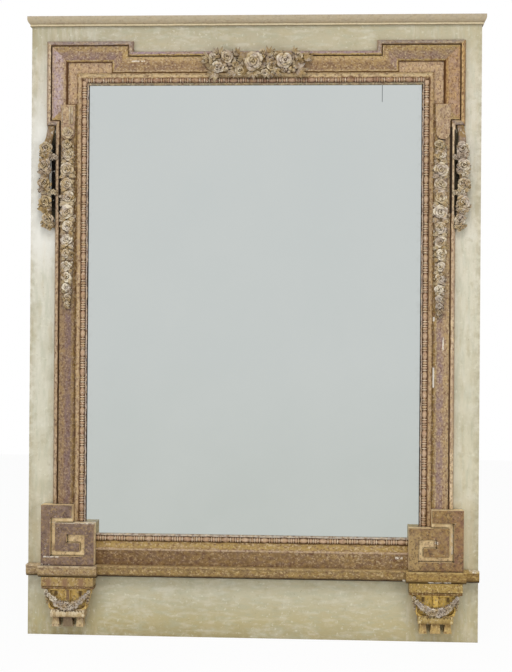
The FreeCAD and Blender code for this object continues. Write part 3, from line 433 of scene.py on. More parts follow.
dress(worn_gilding("gilt_ribbon_ear_step", "right_ear_step", "X", 1, ear_bands, RUN_Z, 0.4),
      "left_ear_step", "right_ear_step")
dress(worn_gilding("gilt_ribbon_ear_foot", "right_ear_foot", "Z", 1, ear_bands, RUN_X, 0.4),
      "left_ear_foot", "right_ear_foot")
# the dark stripe from 60 mm, at the inner edge, is painted shadow cast on the flat inside the ear
ear_side_bands = [(0, "#8C7562"), (4, "#A58D7C"), (9, "#D0BCA0"), (12, "#D8C4A8"), (13.6, "#5A4028"),
                  (15.8, "#5E452C"), (17, "#A58C78"), (24, "#B09A9A"), (40, "#B9A5A6"), (50, "#AF9992"),
                  (54, "#B59A78"), (58, "#A88E74"), (60, "#664A30"), (63, "#54381F"), (66, "#5E4226")]
dress(worn_gilding("gilt_ribbon_ear_side", "right_ear_side", "X", -1, ear_side_bands, RUN_Z, 0.45, 0.3,
                   ("#FFFFFF", "#F4E4C0")), "left_ear_side", "right_ear_side")

# Flats inside the ears, and the frieze between the fret blocks: thin pine boards glued to the ground, coated
# in gesso and bole, gilded and left plain. Dusting has worn the leaf to a fine speckle.

flat_bands = [(0, "#BC9E7C"), (27, "#BB9D7E"), (227, "#B49876")]
dress(worn_gilding("gilt_flat", "right_ear_field", "Z", 1, flat_bands, RUN_Z, 0.45),
      "left_ear_field", "right_ear_field")
frieze_bands = [(0, "#8C7252"), (4, "#927856"), (40, "#907654"), (45, "#A88E6C")]
dress(worn_gilding("speckled_gilt_frieze", "bottom_frieze", "Z", 1, frieze_bands, RUN_X, 0.5, 0.6,
                   ("#CDC2B6", "#F6F4EA"), [(GESSO, 1.5, (434, 458), (249, 257))]), "bottom_frieze")

# Mirror plate: one tall plain sheet of old cylinder glass, silvered with tin amalgam. It lies in the rebate
# of the sight mouldings, which hold it against the ground.

GLASS_FOOT = 0.31
GLASS_HEAD = 1.68
SIGHT_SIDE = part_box("right_sight")[0].x

# Old silvering gives a soft grey-green mirror, slightly hazy, foxed along the sides and scratched at the top.
silvered_glass, tree, shader = new_finish("silvered_plate_glass", Metallic=1.0)
place = add(tree, "TexCoord", out="Object")
axes = add(tree, "SeparateXYZ", {0: place})
height = add(tree, "MapRange", {"Value": axes.outputs["Z"], "From Min": GLASS_FOOT,
                                "From Max": GLASS_HEAD}, 0)
silver = add(tree, "ValToRGB", {"Fac": height}, 0,
             stops=[(0.0, "#BEC3BE"), (0.4, "#C4C9C7"), (1.0, "#C6CBCA")])
silver = wear(tree, place, silver, [(160, 0.4, 0.75, 0.3, "#CDD0CD")])
side = add(tree, "Math", {0: axes.outputs["X"]}, 0, operation="ABSOLUTE")
margin = add(tree, "MapRange", {"Value": side, "From Min": SIGHT_SIDE - 17 * MM,
                                "From Max": SIGHT_SIDE + 3 * MM, "To Max": 0.18}, 0)
foxed = add(tree, "Math", {0: margin, 1: patches(tree, place, 7, 0.5, 0.66)}, 0, operation="MULTIPLY")
silver = add(tree, "Mix", {0: foxed, 6: silver, 7: "#8F8E84"}, 2, data_type="RGBA")
silver = spot(tree, place, silver, "#6E7474", (385, 388), (1628, 1684), 1)
tree.links.new(silver, shader.inputs["Base Color"])
haze = add(tree, "MapRange", {"Value": patches(tree, place, 90, 0.35, 0.7), "To Min": 0.03,
                              "To Max": 0.09}, 0)
tree.links.new(haze, shader.inputs["Roughness"])
dress(silvered_glass, "mirror_plate")

# Fret blocks: pine blocks over the bottom corners of the frame, cut with a square spiral channel. The strips
# were painted purple over the gilding and are rubbed back to it; the channel keeps brighter gold.

FRET_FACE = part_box("right_key_block")[0].y
FRET_CHIPS = (((-630, -580), (243, 249)), ((-640, -596), (217, 225)), ((-505, -468), (345, 353)),
              ((-610, -480), (346, 351)), ((599, 607), (270, 335)), ((551, 561), (299, 310)))

# Old paint over leaf is matt: mauve-brown at the left, browner at the right, with specks of gold and gesso.
purple_over_gilding, tree, shader = new_finish("purple_paint_over_gilding", Metallic=0.15, Roughness=0.6,
                                               IOR=1.45, Specular_IOR_Level=0.3)
place = add(tree, "TexCoord", out="Object")
axes = add(tree, "SeparateXYZ", {0: place})
gold = add(tree, "ValToRGB", {"Fac": patches(tree, place, 14, 0.35, 0.7)}, 0,
           stops=[(0.0, "#D2B788"), (0.5, "#EAD2A4"), (1.0, "#F6E2B8")])
gold = wear(tree, place, gold, [(4, 0.56, 0.66, 0.6, "#6B4E2E"), (8, 0.5, 0.64, 0.4, "#9A7F70")])
left_strip = add(tree, "ValToRGB", {"Fac": patches(tree, place, 10, 0.35, 0.7)}, 0,
                 stops=[(0.0, "#6E5A50"), (0.5, "#7F6A5E"), (1.0, "#947E70")])
right_strip = add(tree, "ValToRGB", {"Fac": patches(tree, place, 10, 0.35, 0.7)}, 0,
                  stops=[(0.0, "#7C5E4C"), (0.5, "#927448"), (1.0, "#AC9064")])
half = add(tree, "MapRange", {"Value": axes.outputs["X"], "From Min": -0.1, "From Max": 0.1}, 0)
strip = add(tree, "Mix", {0: half, 6: left_strip, 7: right_strip}, 2, data_type="RGBA")
strip = spot(tree, place, strip, "#AE9466", (438, 524), (190, 350), 24, 0.7)
strip = spot(tree, place, strip, "#8A6250", (596, 676), (190, 420), 22, 0.4)
strip = wear(tree, place, strip, [(4, 0.5, 0.62, 0.58, "#A88C5E"), (3, 0.52, 0.62, 0.7, "#4A372A"),
                                  (3.2, 0.64, 0.69, 0.5, "#D9CBB8"), (24, 0.5, 0.62, 0.35, "#9C8062"),
                                  (18, 0.54, 0.64, 0.35, "#5E4A46")])
raised = add(tree, "MapRange", {"Value": axes.outputs["Y"], "From Min": FRET_FACE + 1.5 * MM,
                                "From Max": FRET_FACE + 0.5 * MM}, 0)
colour = add(tree, "Mix", {0: raised, 6: gold, 7: strip}, 2, data_type="RGBA")
for x_range, z_range in FRET_CHIPS:
    colour = spot(tree, place, colour, GESSO, x_range, z_range, 2, 0.7, True)
# the strong darkening along the channel walls is painted shade, with some dirt
surface(tree, shader, dirt_and_painted_shade(tree, colour, 6, "#24170C", 1.0, 0.45), place, 2.5, 0.6)
dress(purple_over_gilding, "left_key_block", "right_key_block")

# Ledge: a rounded shelf moulding that breaks forward over each bracket, gilded, its lower edge chipped to
# white gesso; the long centre is the most rubbed.

# the near-black bottom bands, here and on the breaks, are painted shadow at the ledge's lower edge
ledge_bands = [(0, "#1E150C"), (4, "#4E3C26"), (10, "#8C7550"), (24, "#96805A"), (31, "#A08A66"),
               (35, "#B39C76")]
dress(worn_gilding("gilt_ledge_centre", "ledge_centre", "Z", 1, ledge_bands, RUN_X, 0.35, 0.5,
                   ("#F9F4E1", "#F9F4E1"), [(GESSO, 1.5, (456, 466), (184, 192))]), "ledge_centre")
break_bands = [(0, "#22180E"), (4, "#64502F"), (12, "#9C845E"), (26, "#A8906A"), (33, "#B8A280"),
               (35, "#CEBC9E")]
break_scars = [(GESSO, 1.5, (655, 690), (214, 222)), (GESSO, 1.5, (530, 600), (185, 190))]
dress(worn_gilding("gilt_ledge_breaks", "right_ledge_break", "Z", 1, break_bands, RUN_X, 0.35, 0.4,
                   ("#FFFFFF", "#F2E8BC"), break_scars),
      "left_ledge_break", "right_ledge_break", "left_ledge_end", "right_ledge_end")

# Brackets: a plain abacus, a console scooped into two flutes, and a foot with a leaf band and three drops,
# all carved in pine, glued to the ground and gilded in an olive gold.

abacus_bands = [(0, "#6A4A30"), (2, "#7C5E3C"), (5, "#8C6C44"), (7.5, "#3A2818"), (8.5, "#4E3620"),
                (10, "#A08654"), (22, "#A68C56"), (36, "#A08650")]
abacus_scars = [("#8C6C52", 10, (x - 14, x + 14), (150, 186)) for x in (-612, -562, -512)]
dress(worn_gilding("gilt_abacus", "right_bracket_abacus", "Z", 1, abacus_bands, RUN_Z, 0.2, 0.3,
                   ("#FFFFFF", "#FFFDE4"), abacus_scars), "left_bracket_abacus", "right_bracket_abacus")
console_bands = [(0, "#C8A85E"), (30, "#DCBA6A"), (62, "#D4B264")]
console_scars = [("#6A5040", 3, (-561, -548), (112, 147))]
console_scars += [("#4A3220", 6, (x - 8, x + 8), (122, 144)) for x in (-592, -518, 518, 592)]
dress(worn_gilding("gilt_console", "right_bracket_body", "Z", 1, console_bands, RUN_Z, 0.12, 0.15,
                   ("#FFFFFF", "#FFFDE4"), console_scars), "left_bracket_body", "right_bracket_body")
drop_bands = [(0, "#C2AE8C"), (12, "#BCA882"), (28, "#7A6448"), (30, "#B19B7A"), (54, "#AE9876")]
# the dark window over the left middle drop is painted shade
dress(worn_gilding("gilt_drops", "right_bracket_foot", "Z", 1, drop_bands, RUN_Z, 0.35, 0.5,
                   ("#FFFFFF", "#FFF6D2"), [("#6E5C48", 3, (-571, -539), (20, 64))]),
      "left_bracket_foot", "right_bracket_foot")

# Tablets at the heads of the stiles: small pine boards, cut below to a round drop, glued over the ribbon's
# frieze, coated in gesso and gilded like it.

tablet_bands = [(0, "#A68C70"), (50, "#AC9278"), (105, "#B39A7C")]
gilt_tablet = worn_gilding("gilt_tablet", "right_tablet", "Z", 1, tablet_bands, RUN_Z, 0.45, 0.3)
dress(gilt_tablet, "left_tablet", "right_tablet")

# Carved flowers: limewood roses, leaves and straps, cut with gouges and glued up into the crest, pendants,
# pierced festoons and bracket garlands. They are painted lilac-grey and gold, rubbed pale on the rims with a
# painted highlight there, and black in the hollows with dirt and painted shade.

rng = random.Random(7)
# a ring of petals: how many, inner and outer reach, low and high level, half spread of a petal in radians
PETAL_RINGS = ((5, 0.25, 1.0, 0.12, 0.62, 0.74), (5, 0.16, 0.7, 0.3, 0.86, 0.72),
               (3, 0.06, 0.4, 0.5, 1.0, 1.0))
PETAL_LENGTH_SHARES = (0.0, 0.3, 0.6, 0.85, 1.0)
PETAL_WIDTH_SHARES = (-1.0, -0.55, 0.0, 0.55, 1.0)
LEAF_WIDTH_SHARES = (-1.0, -0.5, 0.0, 0.5, 1.0)


class Carving:
    """A carved piece as it is cut: points in millimetres, faces and the tone of each point."""

    def __init__(self):
        self.points, self.faces, self.tones = [], [], []

    def shell(self, rows, tones):
        """Adds a closed form from rows of points; each row is a ring with one tone."""
        first = len(self.points)
        count = len(rows[0])
        for row, tone in zip(rows, tones):
            self.points += row
            self.tones += [tone] * count
        for i in range(len(rows) - 1):
            for k in range(count):
                a = first + i * count + k
                b = first + i * count + (k + 1) % count
                self.faces.append((a, b, b + count, a + count))
        self.faces.append(tuple(range(first, first + count)))
        self.faces.append(tuple(range(len(self.points) - count, len(self.points))))

    def sheet(self, rows, tones, thick):
        """Adds a thin closed form: rows of front points, and the same set back by its thickness."""
        first = len(self.points)
        columns = len(rows[0])
        size = len(rows) * columns
        # the back copy is painted darker: painted shade on the underside
        for depth, underside_shade in ((0, 0.0), (thick, 0.35)):
            for row, tone in zip(rows, tones):
                self.points += [(x, y + depth, z) for x, y, z in row]
                self.tones += [value - underside_shade for value in tone]
        for i in range(len(rows) - 1):
            for k in range(columns - 1):
                a = first + i * columns + k
                self.faces.append((a, a + 1, a + columns + 1, a + columns))
                self.faces.append((a + size, a + size + columns, a + size + columns + 1, a + size + 1))
        rim = [first + k for k in range(columns)]
        rim += [first + i * columns + columns - 1 for i in range(1, len(rows))]
        rim += [first + size - columns + k for k in range(columns - 2, -1, -1)]
        rim += [first + i * columns for i in range(len(rows) - 2, 0, -1)]
        for a, b in zip(rim, rim[1:] + rim[:1]):
            self.faces.append((b, a, a + size, b + size))

    def bud(self, x, z, base, radius, height, tone):
        """A small dome."""
        rows = []
        for i in range(5):
            rise = math.pi / 2 * i / 4
            ring = max(0.08, math.cos(rise)) * radius
            rows.append([(x + ring * math.cos(math.pi * k / 4), -base - height * math.sin(rise),
                          z + ring * math.sin(math.pi * k / 4)) for k in range(8)])
        # each ring up the dome is lighter: painted highlight on its crown
        self.shell(rows, [tone + 0.12 * i for i in range(5)])

    def rose(self, x, z, base, radius, height, shade):
        """A full rose: a core painted dark as shade and three rings of broad cupped petals that lap over each
        other.
        """
        turn = rng.uniform(0, math.tau)
        shade += rng.uniform(-0.1, 0.1)
        self.bud(x, z, base, radius * 0.82, height * 0.45, -0.1)
        for count, inner, outer, low, high, half in PETAL_RINGS:
            for k in range(count):
                middle = turn + math.tau * k / count + rng.uniform(-0.25, 0.25)
                lean = shade + rng.uniform(-0.15, 0.12)
                spread = radius * rng.uniform(0.82, 1.1)
                lift = rng.uniform(-0.1, 0.1)
                rows, tones = [], []
                for v in PETAL_LENGTH_SHARES:
                    rise = (high - low + lift) * math.sin(math.pi * 0.68 * v)
                    row = []
                    for u in PETAL_WIDTH_SHARES:
                        angle = middle + u * half
                        reach = spread * (inner + (outer - inner) * v) * (1 - 0.2 * u * u * v)
                        level = low + rise + 0.07 * (u * u - 0.5) * v
                        row.append((x + reach * math.cos(angle), -base - height * level,
                                    z + reach * math.sin(angle)))
                    rows.append(row)
                    # petals are painted dark as shade at the base and at the sides, lighter towards the rim
                    tones.append([0.26 + 0.46 * v + lean - 0.12 * abs(u) for u in PETAL_WIDTH_SHARES])
                self.sheet(rows, tones, max(1.2, radius * 0.09))
            turn += math.pi / count
        self.bud(x, z, base + height * 0.55, radius * 0.13, height * 0.4, 0.3)

    def leaf(self, x, z, base, angle, length, width, rise, shade=0.0):
        """A pointed leaf that grows from a point out along an angle, creased along its vein."""
        angle += rng.uniform(-0.1, 0.1)
        length *= rng.uniform(0.9, 1.1)
        shade += rng.uniform(-0.12, 0.12)
        ahead = (math.cos(angle), math.sin(angle))
        rows, tones = [], []
        for i in range(7):
            t = i / 6
            half = width / 2 * max(0.07, math.sin(math.pi * (0.1 + 0.9 * t) ** 0.8))
            row, tone = [], []
            for share in LEAF_WIDTH_SHARES:
                ridge = 0.55 - 0.45 * abs(abs(share) - 0.5) * 2
                level = base + rise * (0.35 + 0.65 * math.sin(math.pi * 0.66 * t)) * (0.55 + ridge)
                row.append((x + ahead[0] * length * t - ahead[1] * half * share, -level,
                            z + ahead[1] * length * t + ahead[0] * half * share))
                # the raised halves and the tip are painted lighter as highlight, the crease and edges darker
                # as shade
                tone.append(0.2 + 0.45 * t + 0.3 * ridge + shade)
            rows.append(row)
            tones.append(tone)
        self.sheet(rows, tones, max(1.5, rise * 0.4))

    def foliage(self, x, z, base, radius, count):
        """Small leaves thrown all ways round a flower, to fill the ground between it and the next."""
        for k in range(count):
            angle = math.tau * (k + rng.uniform(0.2, 0.8)) / count
            reach = radius * rng.uniform(0.7, 1.0)
            growing = angle + rng.uniform(1.2, 2.6)
            self.leaf(x + reach * math.cos(angle), z + reach * math.sin(angle), base, growing,
                      radius * rng.uniform(0.5, 0.8), radius * 0.45, radius * 0.4, 0.1)

    def spray(self, x, z, base, angle, count, length, rise):
        """A fan of leaves."""
        for k in range(count):
            self.leaf(x, z, base, angle + (k - (count - 1) / 2) * 0.55, length, length * 0.42, rise)

    def strap(self, stations, back, front, tone):
        """A rounded strip that runs up the piece through (x, z, half width) from back to front."""
        shoulder = (back + front) / 2
        rows = []
        for x, z, half in stations:
            rows.append([(x - half, -back, z), (x - half, -shoulder, z), (x - half * 0.6, -front, z),
                         (x + half * 0.6, -front, z), (x + half, -shoulder, z), (x + half, -back, z)])
        self.shell(rows, [tone] * len(rows))

    def plate(self, outline, back, front, tone):
        """A flat backing with rounded edges, drawn from the front as a closed outline."""
        middle_x = sum(x for x, z in outline) / len(outline)
        middle_z = sum(z for x, z in outline) / len(outline)
        rows = []
        for share, depth in ((1, back), (1, (back + front) / 2), (0.94, front)):
            rows.append([(middle_x + (x - middle_x) * share, -depth, middle_z + (z - middle_z) * share)
                         for x, z in outline])
        self.shell(rows, [tone] * len(rows))

    def piece(self, name, material, slot, *replaced):
        """Makes the carving one piece that rides with the mirror."""
        made = solid_mesh(name, self.points, self.faces, self.tones)
        made.data.materials.append(material)
        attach(made, "mirror")
        if replaced:
            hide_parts(*replaced)


painted_limewood = carved_finish(
    "lilac_and_gilt_limewood",
    [(0.0, "#3A2C1E"), (0.2, "#8A7252"), (0.45, "#B6A27C"), (0.75, "#CDBB9B"), (1.0, "#E9DEC8")],
    [(16, 0.46, 0.58, 0.55, "#A3918A"), (11, 0.5, 0.6, 0.55, "#AE8E54"), (6, 0.52, 0.62, 0.5, "#6E5638"),
     (4, 0.58, 0.66, 0.55, "#E6DED0")], 5, "#2A1D11")

# Crest: great roses, small blossoms, berries and fanned leaves across the middle of the top ribbon. They are
# carved on a thin limewood plate that is glued to the face of the ribbon.

CREST_BACK = 50
CREST_FACE = 54
CREST_SEAT = 52
CREST_MIDDLE = 1747
CREST_HALF_WIDTH = 150
CREST_HALF_HEIGHT = 34
OUTLINE_POINTS = 48
SCATTERED_LEAVES = 54
# fans of leaves: x, z, the way they point, how many, length
CREST_SPRAYS = ((148, 1757, 0.35, 3, 30), (128, 1722, -0.15, 4, 34), (-138, 1752, 2.7, 3, 30),
                (-112, 1716, 3.5, 4, 34), (-52, 1768, 1.75, 3, 24), (44, 1772, 1.3, 3, 24),
                (-4, 1722, -1.57, 5, 28), (-60, 1722, -2.2, 3, 28), (58, 1724, -0.9, 4, 28),
                (116, 1774, 0.9, 3, 22), (-112, 1772, 2.2, 3, 22), (34, 1720, -1.2, 3, 26),
                (-36, 1752, 2.9, 2, 22), (62, 1748, 0.4, 2, 20))
# roses: x, z, radius, height
CREST_ROSES = ((-3, 1747, 31, 21), (-83, 1763, 22, 18), (94, 1751, 27, 20), (-112, 1730, 20, 16),
               (52, 1736, 16, 14), (-44, 1722, 15, 13), (30, 1714, 13, 12), (-126, 1762, 13, 12),
               (132, 1766, 14, 13), (66, 1766, 13, 12), (-58, 1742, 12, 11), (24, 1778, 11, 11))
# berries: x, z, radius
CREST_BERRIES = ((-90, 1738, 8), (-76, 1740, 7), (-84, 1726, 8), (-70, 1728, 6), (-97, 1724, 6),
                 (-64, 1736, 5), (-78, 1718, 5), (108, 1727, 8), (96, 1724, 6), (119, 1722, 7),
                 (104, 1716, 6), (121, 1733, 6))

crest = Carving()
outline = []
for k in range(OUTLINE_POINTS):
    angle = math.tau * k / OUTLINE_POINTS
    across = math.copysign(abs(math.cos(angle)) ** 0.6, math.cos(angle))
    up = math.copysign(abs(math.sin(angle)) ** 0.6, math.sin(angle)) * (1 + 0.1 * math.sin(7 * angle))
    outline.append((CREST_HALF_WIDTH * across, CREST_MIDDLE + CREST_HALF_HEIGHT * up))
crest.plate(outline, CREST_BACK, CREST_FACE, 0.3)
for x, z, angle, count, length in CREST_SPRAYS:
    crest.spray(x, z, CREST_SEAT, angle, count, length, 9)
for k in range(SCATTERED_LEAVES):
    x = rng.uniform(-138, 138)
    z = rng.uniform(1722, 1774)
    angle = rng.uniform(0, math.tau)
    length = rng.uniform(15, 25)
    width = rng.uniform(8, 12)
    crest.leaf(x, z, CREST_FACE, angle, length, width, 10, rng.uniform(-0.15, 0.15))
for x, z, radius, height in CREST_ROSES:
    crest.rose(x, z, CREST_SEAT, radius, height, 0.2)
for x, z, radius in CREST_BERRIES:
    crest.bud(x, z, CREST_FACE - 1, radius, radius + 3, 0.3)
crest.piece("crest_flowers", painted_limewood, "painted_flowers", "crest_spray")

# Pendants: chains of roses and leaves carved on a strap and glued to the friezes of the stiles, below the
# tablets, tapering to a tip. The right one was fixed a little further in, and is the longer.

PENDANT_X = 568.5
PENDANT_BACK = 47
PENDANT_FACE = 50
WORN_PALE_BELOW = 1300
# roses: z, radius
PENDANT_ROSES = ((1497, 16), (1464, 19), (1424, 22), (1380, 20), (1338, 22), (1292, 23), (1247, 20),
                 (1207, 20), (1168, 18), (1130, 18), (1096, 17), (1064, 15), (1036, 13), (1011, 11), (989, 9))
for name, side, inward, tip in (("left", -1, 0, 996), ("right", 1, 6, 974)):
    chain = Carving()
    x = (PENDANT_X - inward) * side
    chain.strap([(x, tip, 4), (x, tip + 24, 9), (x, 1110, 16), (x, 1220, 19), (x, 1480, 19), (x, 1513, 12)],
                PENDANT_BACK, PENDANT_FACE, 0.3)
    for z, radius in [rose for rose in PENDANT_ROSES if rose[0] > tip + 10]:
        worn_pale = 0.42 if z < WORN_PALE_BELOW else 0.22
        chain.rose(x + rng.uniform(-3, 3), z + rng.uniform(-3, 3), PENDANT_FACE - 1, radius,
                   6 + radius * 0.36, worn_pale)
        chain.foliage(x, z - radius * 0.4, PENDANT_BACK + 0.5, radius, 8)
        for toward in (-1, 1):
            hanging = math.pi / 2 - toward * 2.0
            chain.leaf(x + toward * radius * 0.25, z - radius * 0.8, PENDANT_FACE + 1, hanging,
                       radius * 0.95, radius * 0.7, 7)
            spreading = math.pi / 2 - toward * 1.1
            chain.leaf(x + toward * radius * 0.2, z - radius * 1.1, PENDANT_FACE + 2, spreading,
                       radius * 0.9, radius * 0.6, 7)
            beside = z + radius * rng.uniform(-0.3, 0.5)
            chain.leaf(x + toward * radius * 0.55, beside, PENDANT_FACE + 3, rng.uniform(0, math.tau),
                       radius * 0.7, radius * 0.5, 7)
    chain.leaf(x, tip + 12, PENDANT_BACK + 1, -math.pi / 2, 14, 9, 5)
    chain.piece(f"{name}_pendant_flowers", painted_limewood, "painted_flowers", f"{name}_pendant")

# Festoons: pierced chains of five big roses that hang from the ears clear of the stiles, on a stem, tied back
# to the stiles by leaves. They were fixed by eye, the left one a little further out than the right.

STEM_BACK = 34
STEM_FACE = 46
# roses: x, z, radius; stations of the stem, from its foot: x, z, half width
FESTOON_ROSES = ((635, 1487, 21), (639, 1436, 22), (639, 1382, 21), (637, 1324, 22), (628, 1271, 20))
FESTOON_STEM = ((612, 1246, 5), (619, 1258, 10), (629, 1285, 12), (637, 1330, 13), (639, 1380, 12),
                (639, 1440, 12), (635, 1490, 12), (627, 1524, 11), (621, 1556, 11))
STEM_FREE = (1270, 1520)
# each tie is a row of small roses across to the stile: x, depth, radius
TIE_HEIGHTS = (1460, 1352)
TIE_ROSES = ((626, 41, 10), (615, 44, 9), (605, 49, 8))
for name, side, out in (("left", -1, 2), ("right", 1, -8)):
    chain = Carving()
    stations = []
    for x, z, half in FESTOON_STEM:
        swing = out if STEM_FREE[0] < z < STEM_FREE[1] else 0
        stations.append(((x + swing) * side, z, half))
    chain.strap(stations, STEM_BACK, STEM_FACE, 0.2)
    worn_pale = 0.16 + 0.16 * side
    for x, z, radius in FESTOON_ROSES:
        spine = (x + out) * side
        chain.rose(spine, z, STEM_FACE - 6, radius, 21, worn_pale)
        chain.foliage(spine, z - radius * 0.5, STEM_FACE - 2, radius * 0.95, 8)
        chain.rose(spine + rng.uniform(-6, 6), z - radius * 1.25, STEM_FACE - 4, radius * 0.5, 13, worn_pale)
        for toward in (-1, 1):
            hanging = math.pi / 2 - toward * 1.7
            chain.leaf(spine + toward * 5, z - radius * 0.95, STEM_FACE, hanging,
                       radius * 0.75, radius * 0.7, 9)
            spreading = math.pi / 2 - toward * 0.9
            chain.leaf(spine + toward * 3, z - radius * 1.15, STEM_FACE + 1, spreading,
                       radius * 0.7, radius * 0.6, 9)
            beside = z + radius * rng.uniform(-0.3, 0.4)
            chain.leaf(spine + toward * radius * 0.4, beside, STEM_FACE + 6, rng.uniform(0, math.tau),
                       radius * 0.6, radius * 0.5, 8)
    for z in TIE_HEIGHTS:
        for x, base, radius in TIE_ROSES:
            chain.rose(x * side, z + rng.uniform(-3, 3), base, radius, 8, 0.15)
            chain.foliage(x * side, z, base, radius, 4)
    chain.leaf(620 * side, 1258, STEM_BACK + 2, math.pi if side > 0 else 0.0, 13, 14, 8)
    chain.piece(f"{name}_festoon_flowers", painted_limewood, "painted_flowers", f"{name}_festoon")

# Bracket garlands: small lilac flowers and leaves on a sagging swag, with tails that hang from the corners of
# the abacus. Each is carved in limewood in one piece and glued to the face of the console.

low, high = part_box("right_bracket_body")
BRACKET_X = (low.x + high.x) / 2 / MM
CONSOLE_FACE = 70
SWAG_HALF = 64
SWAG_LOW = 96
SWAG_SAG = 42
SWAG_FLOWERS = 17
TAIL_LEAVES = 4
for name, side, worn_pale in (("left", -1, 0.5), ("right", 1, 0.36)):
    swag = Carving()
    centre = BRACKET_X * side
    for i in range(SWAG_FLOWERS):
        u = -1 + 2 * i / (SWAG_FLOWERS - 1)
        x = centre + SWAG_HALF * u
        z = SWAG_LOW + SWAG_SAG * u * u
        fat = 1 - 0.45 * abs(u) ** 1.5
        swag.bud(x, z, CONSOLE_FACE - 1, 12 * fat, 7, 0.25)
        swag.leaf(x, z - 5 * fat, CONSOLE_FACE + 1, -math.pi / 2 + u * 0.8, 13 * fat, 7 * fat, 6)
        swag.leaf(x, z + 5 * fat, CONSOLE_FACE + 1, math.pi / 2 + u * 0.8, 12 * fat, 7 * fat, 6)
        swag.rose(x, z + rng.uniform(-4, 4) * fat, CONSOLE_FACE + 2, 12 * fat, 9 * fat + 2, worn_pale)
    for end in (-1, 1):
        for drop in range(TAIL_LEAVES):
            swag.spray(centre + (66 - drop * 1.5) * end, 142 - drop * 10, CONSOLE_FACE, -math.pi / 2, 2,
                       14 - drop, 6)
    swag.piece(f"{name}_garland_flowers", painted_limewood, "painted_flowers", f"{name}_bracket_garland")

# Leaf bands on the bracket feet: nine upright leaves between two scrolls, carved in limewood, glued over the
# heads of the drops and gilded. The right band keeps a richer gold than the left.

LEAF_SEAT = 69.5
LEAF_SPACING = 10
LEAF_COUNT = 9
LEAF_WEAR = [(8, 0.5, 0.62, 0.4, "#B5975A"), (4, 0.56, 0.66, 0.4, "#7A6042"), (3, 0.63, 0.69, 0.6, "#EFE6D6")]
pale_leaves = carved_finish("pale_gilt_leaves", [(0.0, "#523E26"), (0.3, "#9A825C"), (0.6, "#C8B28A"),
                                                 (1.0, "#EADCBE")], LEAF_WEAR, 3)
gold_leaves = carved_finish("rich_gilt_leaves", [(0.0, "#4E3A1C"), (0.3, "#947A48"), (0.6, "#BCA268"),
                                                 (1.0, "#DECA98")], LEAF_WEAR, 3)
for name, side, gilt_leaves in (("left", -1, pale_leaves), ("right", 1, gold_leaves)):
    band = Carving()
    centre = BRACKET_X * side
    for i in range(LEAF_COUNT):
        x = centre + (i - (LEAF_COUNT - 1) / 2) * LEAF_SPACING
        band.leaf(x, 62, LEAF_SEAT, math.pi / 2, 22, 15, 5, 0.08 - 0.06 * side)
    for end in (-1, 1):
        band.bud(centre + 47 * end, 68, LEAF_SEAT - 0.5, 6.5, 6, 0.5)
        band.bud(centre + 48 * end, 80, LEAF_SEAT - 0.5, 5, 5, 0.5)
        band.leaf(centre + 45 * end, 64, LEAF_SEAT, math.pi / 2 - 0.25 * end, 21, 9, 6, 0.2)
    band.piece(f"{name}_foot_leaves", gilt_leaves, "gilt_wood")

# Carving on the tablets: on the left two reeds, a fillet and a rosette in the drop; on the right, where the
# tablet was renewed, a flat lozenge above a plain tongue. Glued on and gilded with the tablets.

CARVING_SEAT = 54.5
REED_FACE = 57
FILLET_FACE = 56.5
REED_HEIGHTS = (1560, 1614)
LOZENGE_MIDDLE = 1592
LOZENGE_HALF_WIDTH = 12
LOZENGE_HALF_HEIGHT = 20
left_carving = Carving()
for offset, half, face in ((6, 2.6, REED_FACE), (13, 2.6, REED_FACE), (-17, 1.6, FILLET_FACE)):
    left_carving.strap([(offset - PENDANT_X, z, half) for z in REED_HEIGHTS], CARVING_SEAT, face, 0.6)
left_carving.rose(-PENDANT_X, 1535, CARVING_SEAT, 19, 7, 0.05)
left_carving.piece("left_tablet_carving", painted_limewood, "painted_flowers")
right_carving = Carving()
lozenge = [(PENDANT_X, LOZENGE_MIDDLE - LOZENGE_HALF_HEIGHT),
           (PENDANT_X + LOZENGE_HALF_WIDTH, LOZENGE_MIDDLE),
           (PENDANT_X, LOZENGE_MIDDLE + LOZENGE_HALF_HEIGHT),
           (PENDANT_X - LOZENGE_HALF_WIDTH, LOZENGE_MIDDLE)]
right_carving.plate(lozenge, CARVING_SEAT, REED_FACE, 0.6)
right_carving.piece("right_tablet_carving", gilt_tablet, "gilt_wood")

# Hangers: on the back of the top rail, two iron straps forged round the eye of a swinging ring, each held by
# cut nails.

# Forged iron is dark and dry, rough where scale clings to it, with rust in spots about 6 mm wide.
forged_iron, tree, shader = new_finish("forged_iron", Metallic=1.0)
place = add(tree, "TexCoord", out="Object")
scale_marks = patches(tree, place, 3, 0.35, 0.7)
iron = add(tree, "ValToRGB", {"Fac": scale_marks}, 0,
           stops=[(0.0, "#3B3733"), (0.6, "#4E4842"), (1.0, "#6B635A")])
rough = add(tree, "MapRange", {"Value": scale_marks, "To Min": 0.45, "To Max": 0.75}, 0)
tree.links.new(rough, shader.inputs["Roughness"])
surface(tree, shader, wear(tree, place, iron, [(6, 0.55, 0.68, 0.6, "#6B4A32")]), place, 3, 0.4)
dress(forged_iron, "hanger_straps", "hanger_nails", "left_ring", "right_ring")

# Studio: a plain pale floor under the mirror and a white surround, lit by a soft lamp at each side and a
# large one above. The camera and the glass see floor and surround as clean white.

FLOOR_HALF = 6
FLOOR_SEEN = 0.94
WORLD_LIGHT = 0.42
LAMP_AIM = Vector((0, 0, 0.95))
# lamps: name, place in metres, size, power in watts
LAMPS = (("left_lamp", (-3.2, -3.0, 1.0), 1.8, 37), ("right_lamp", (3.4, -3.0, 1.0), 1.8, 37),
         ("top_lamp", (0.0, -5.0, 7.5), 3.0, 290))


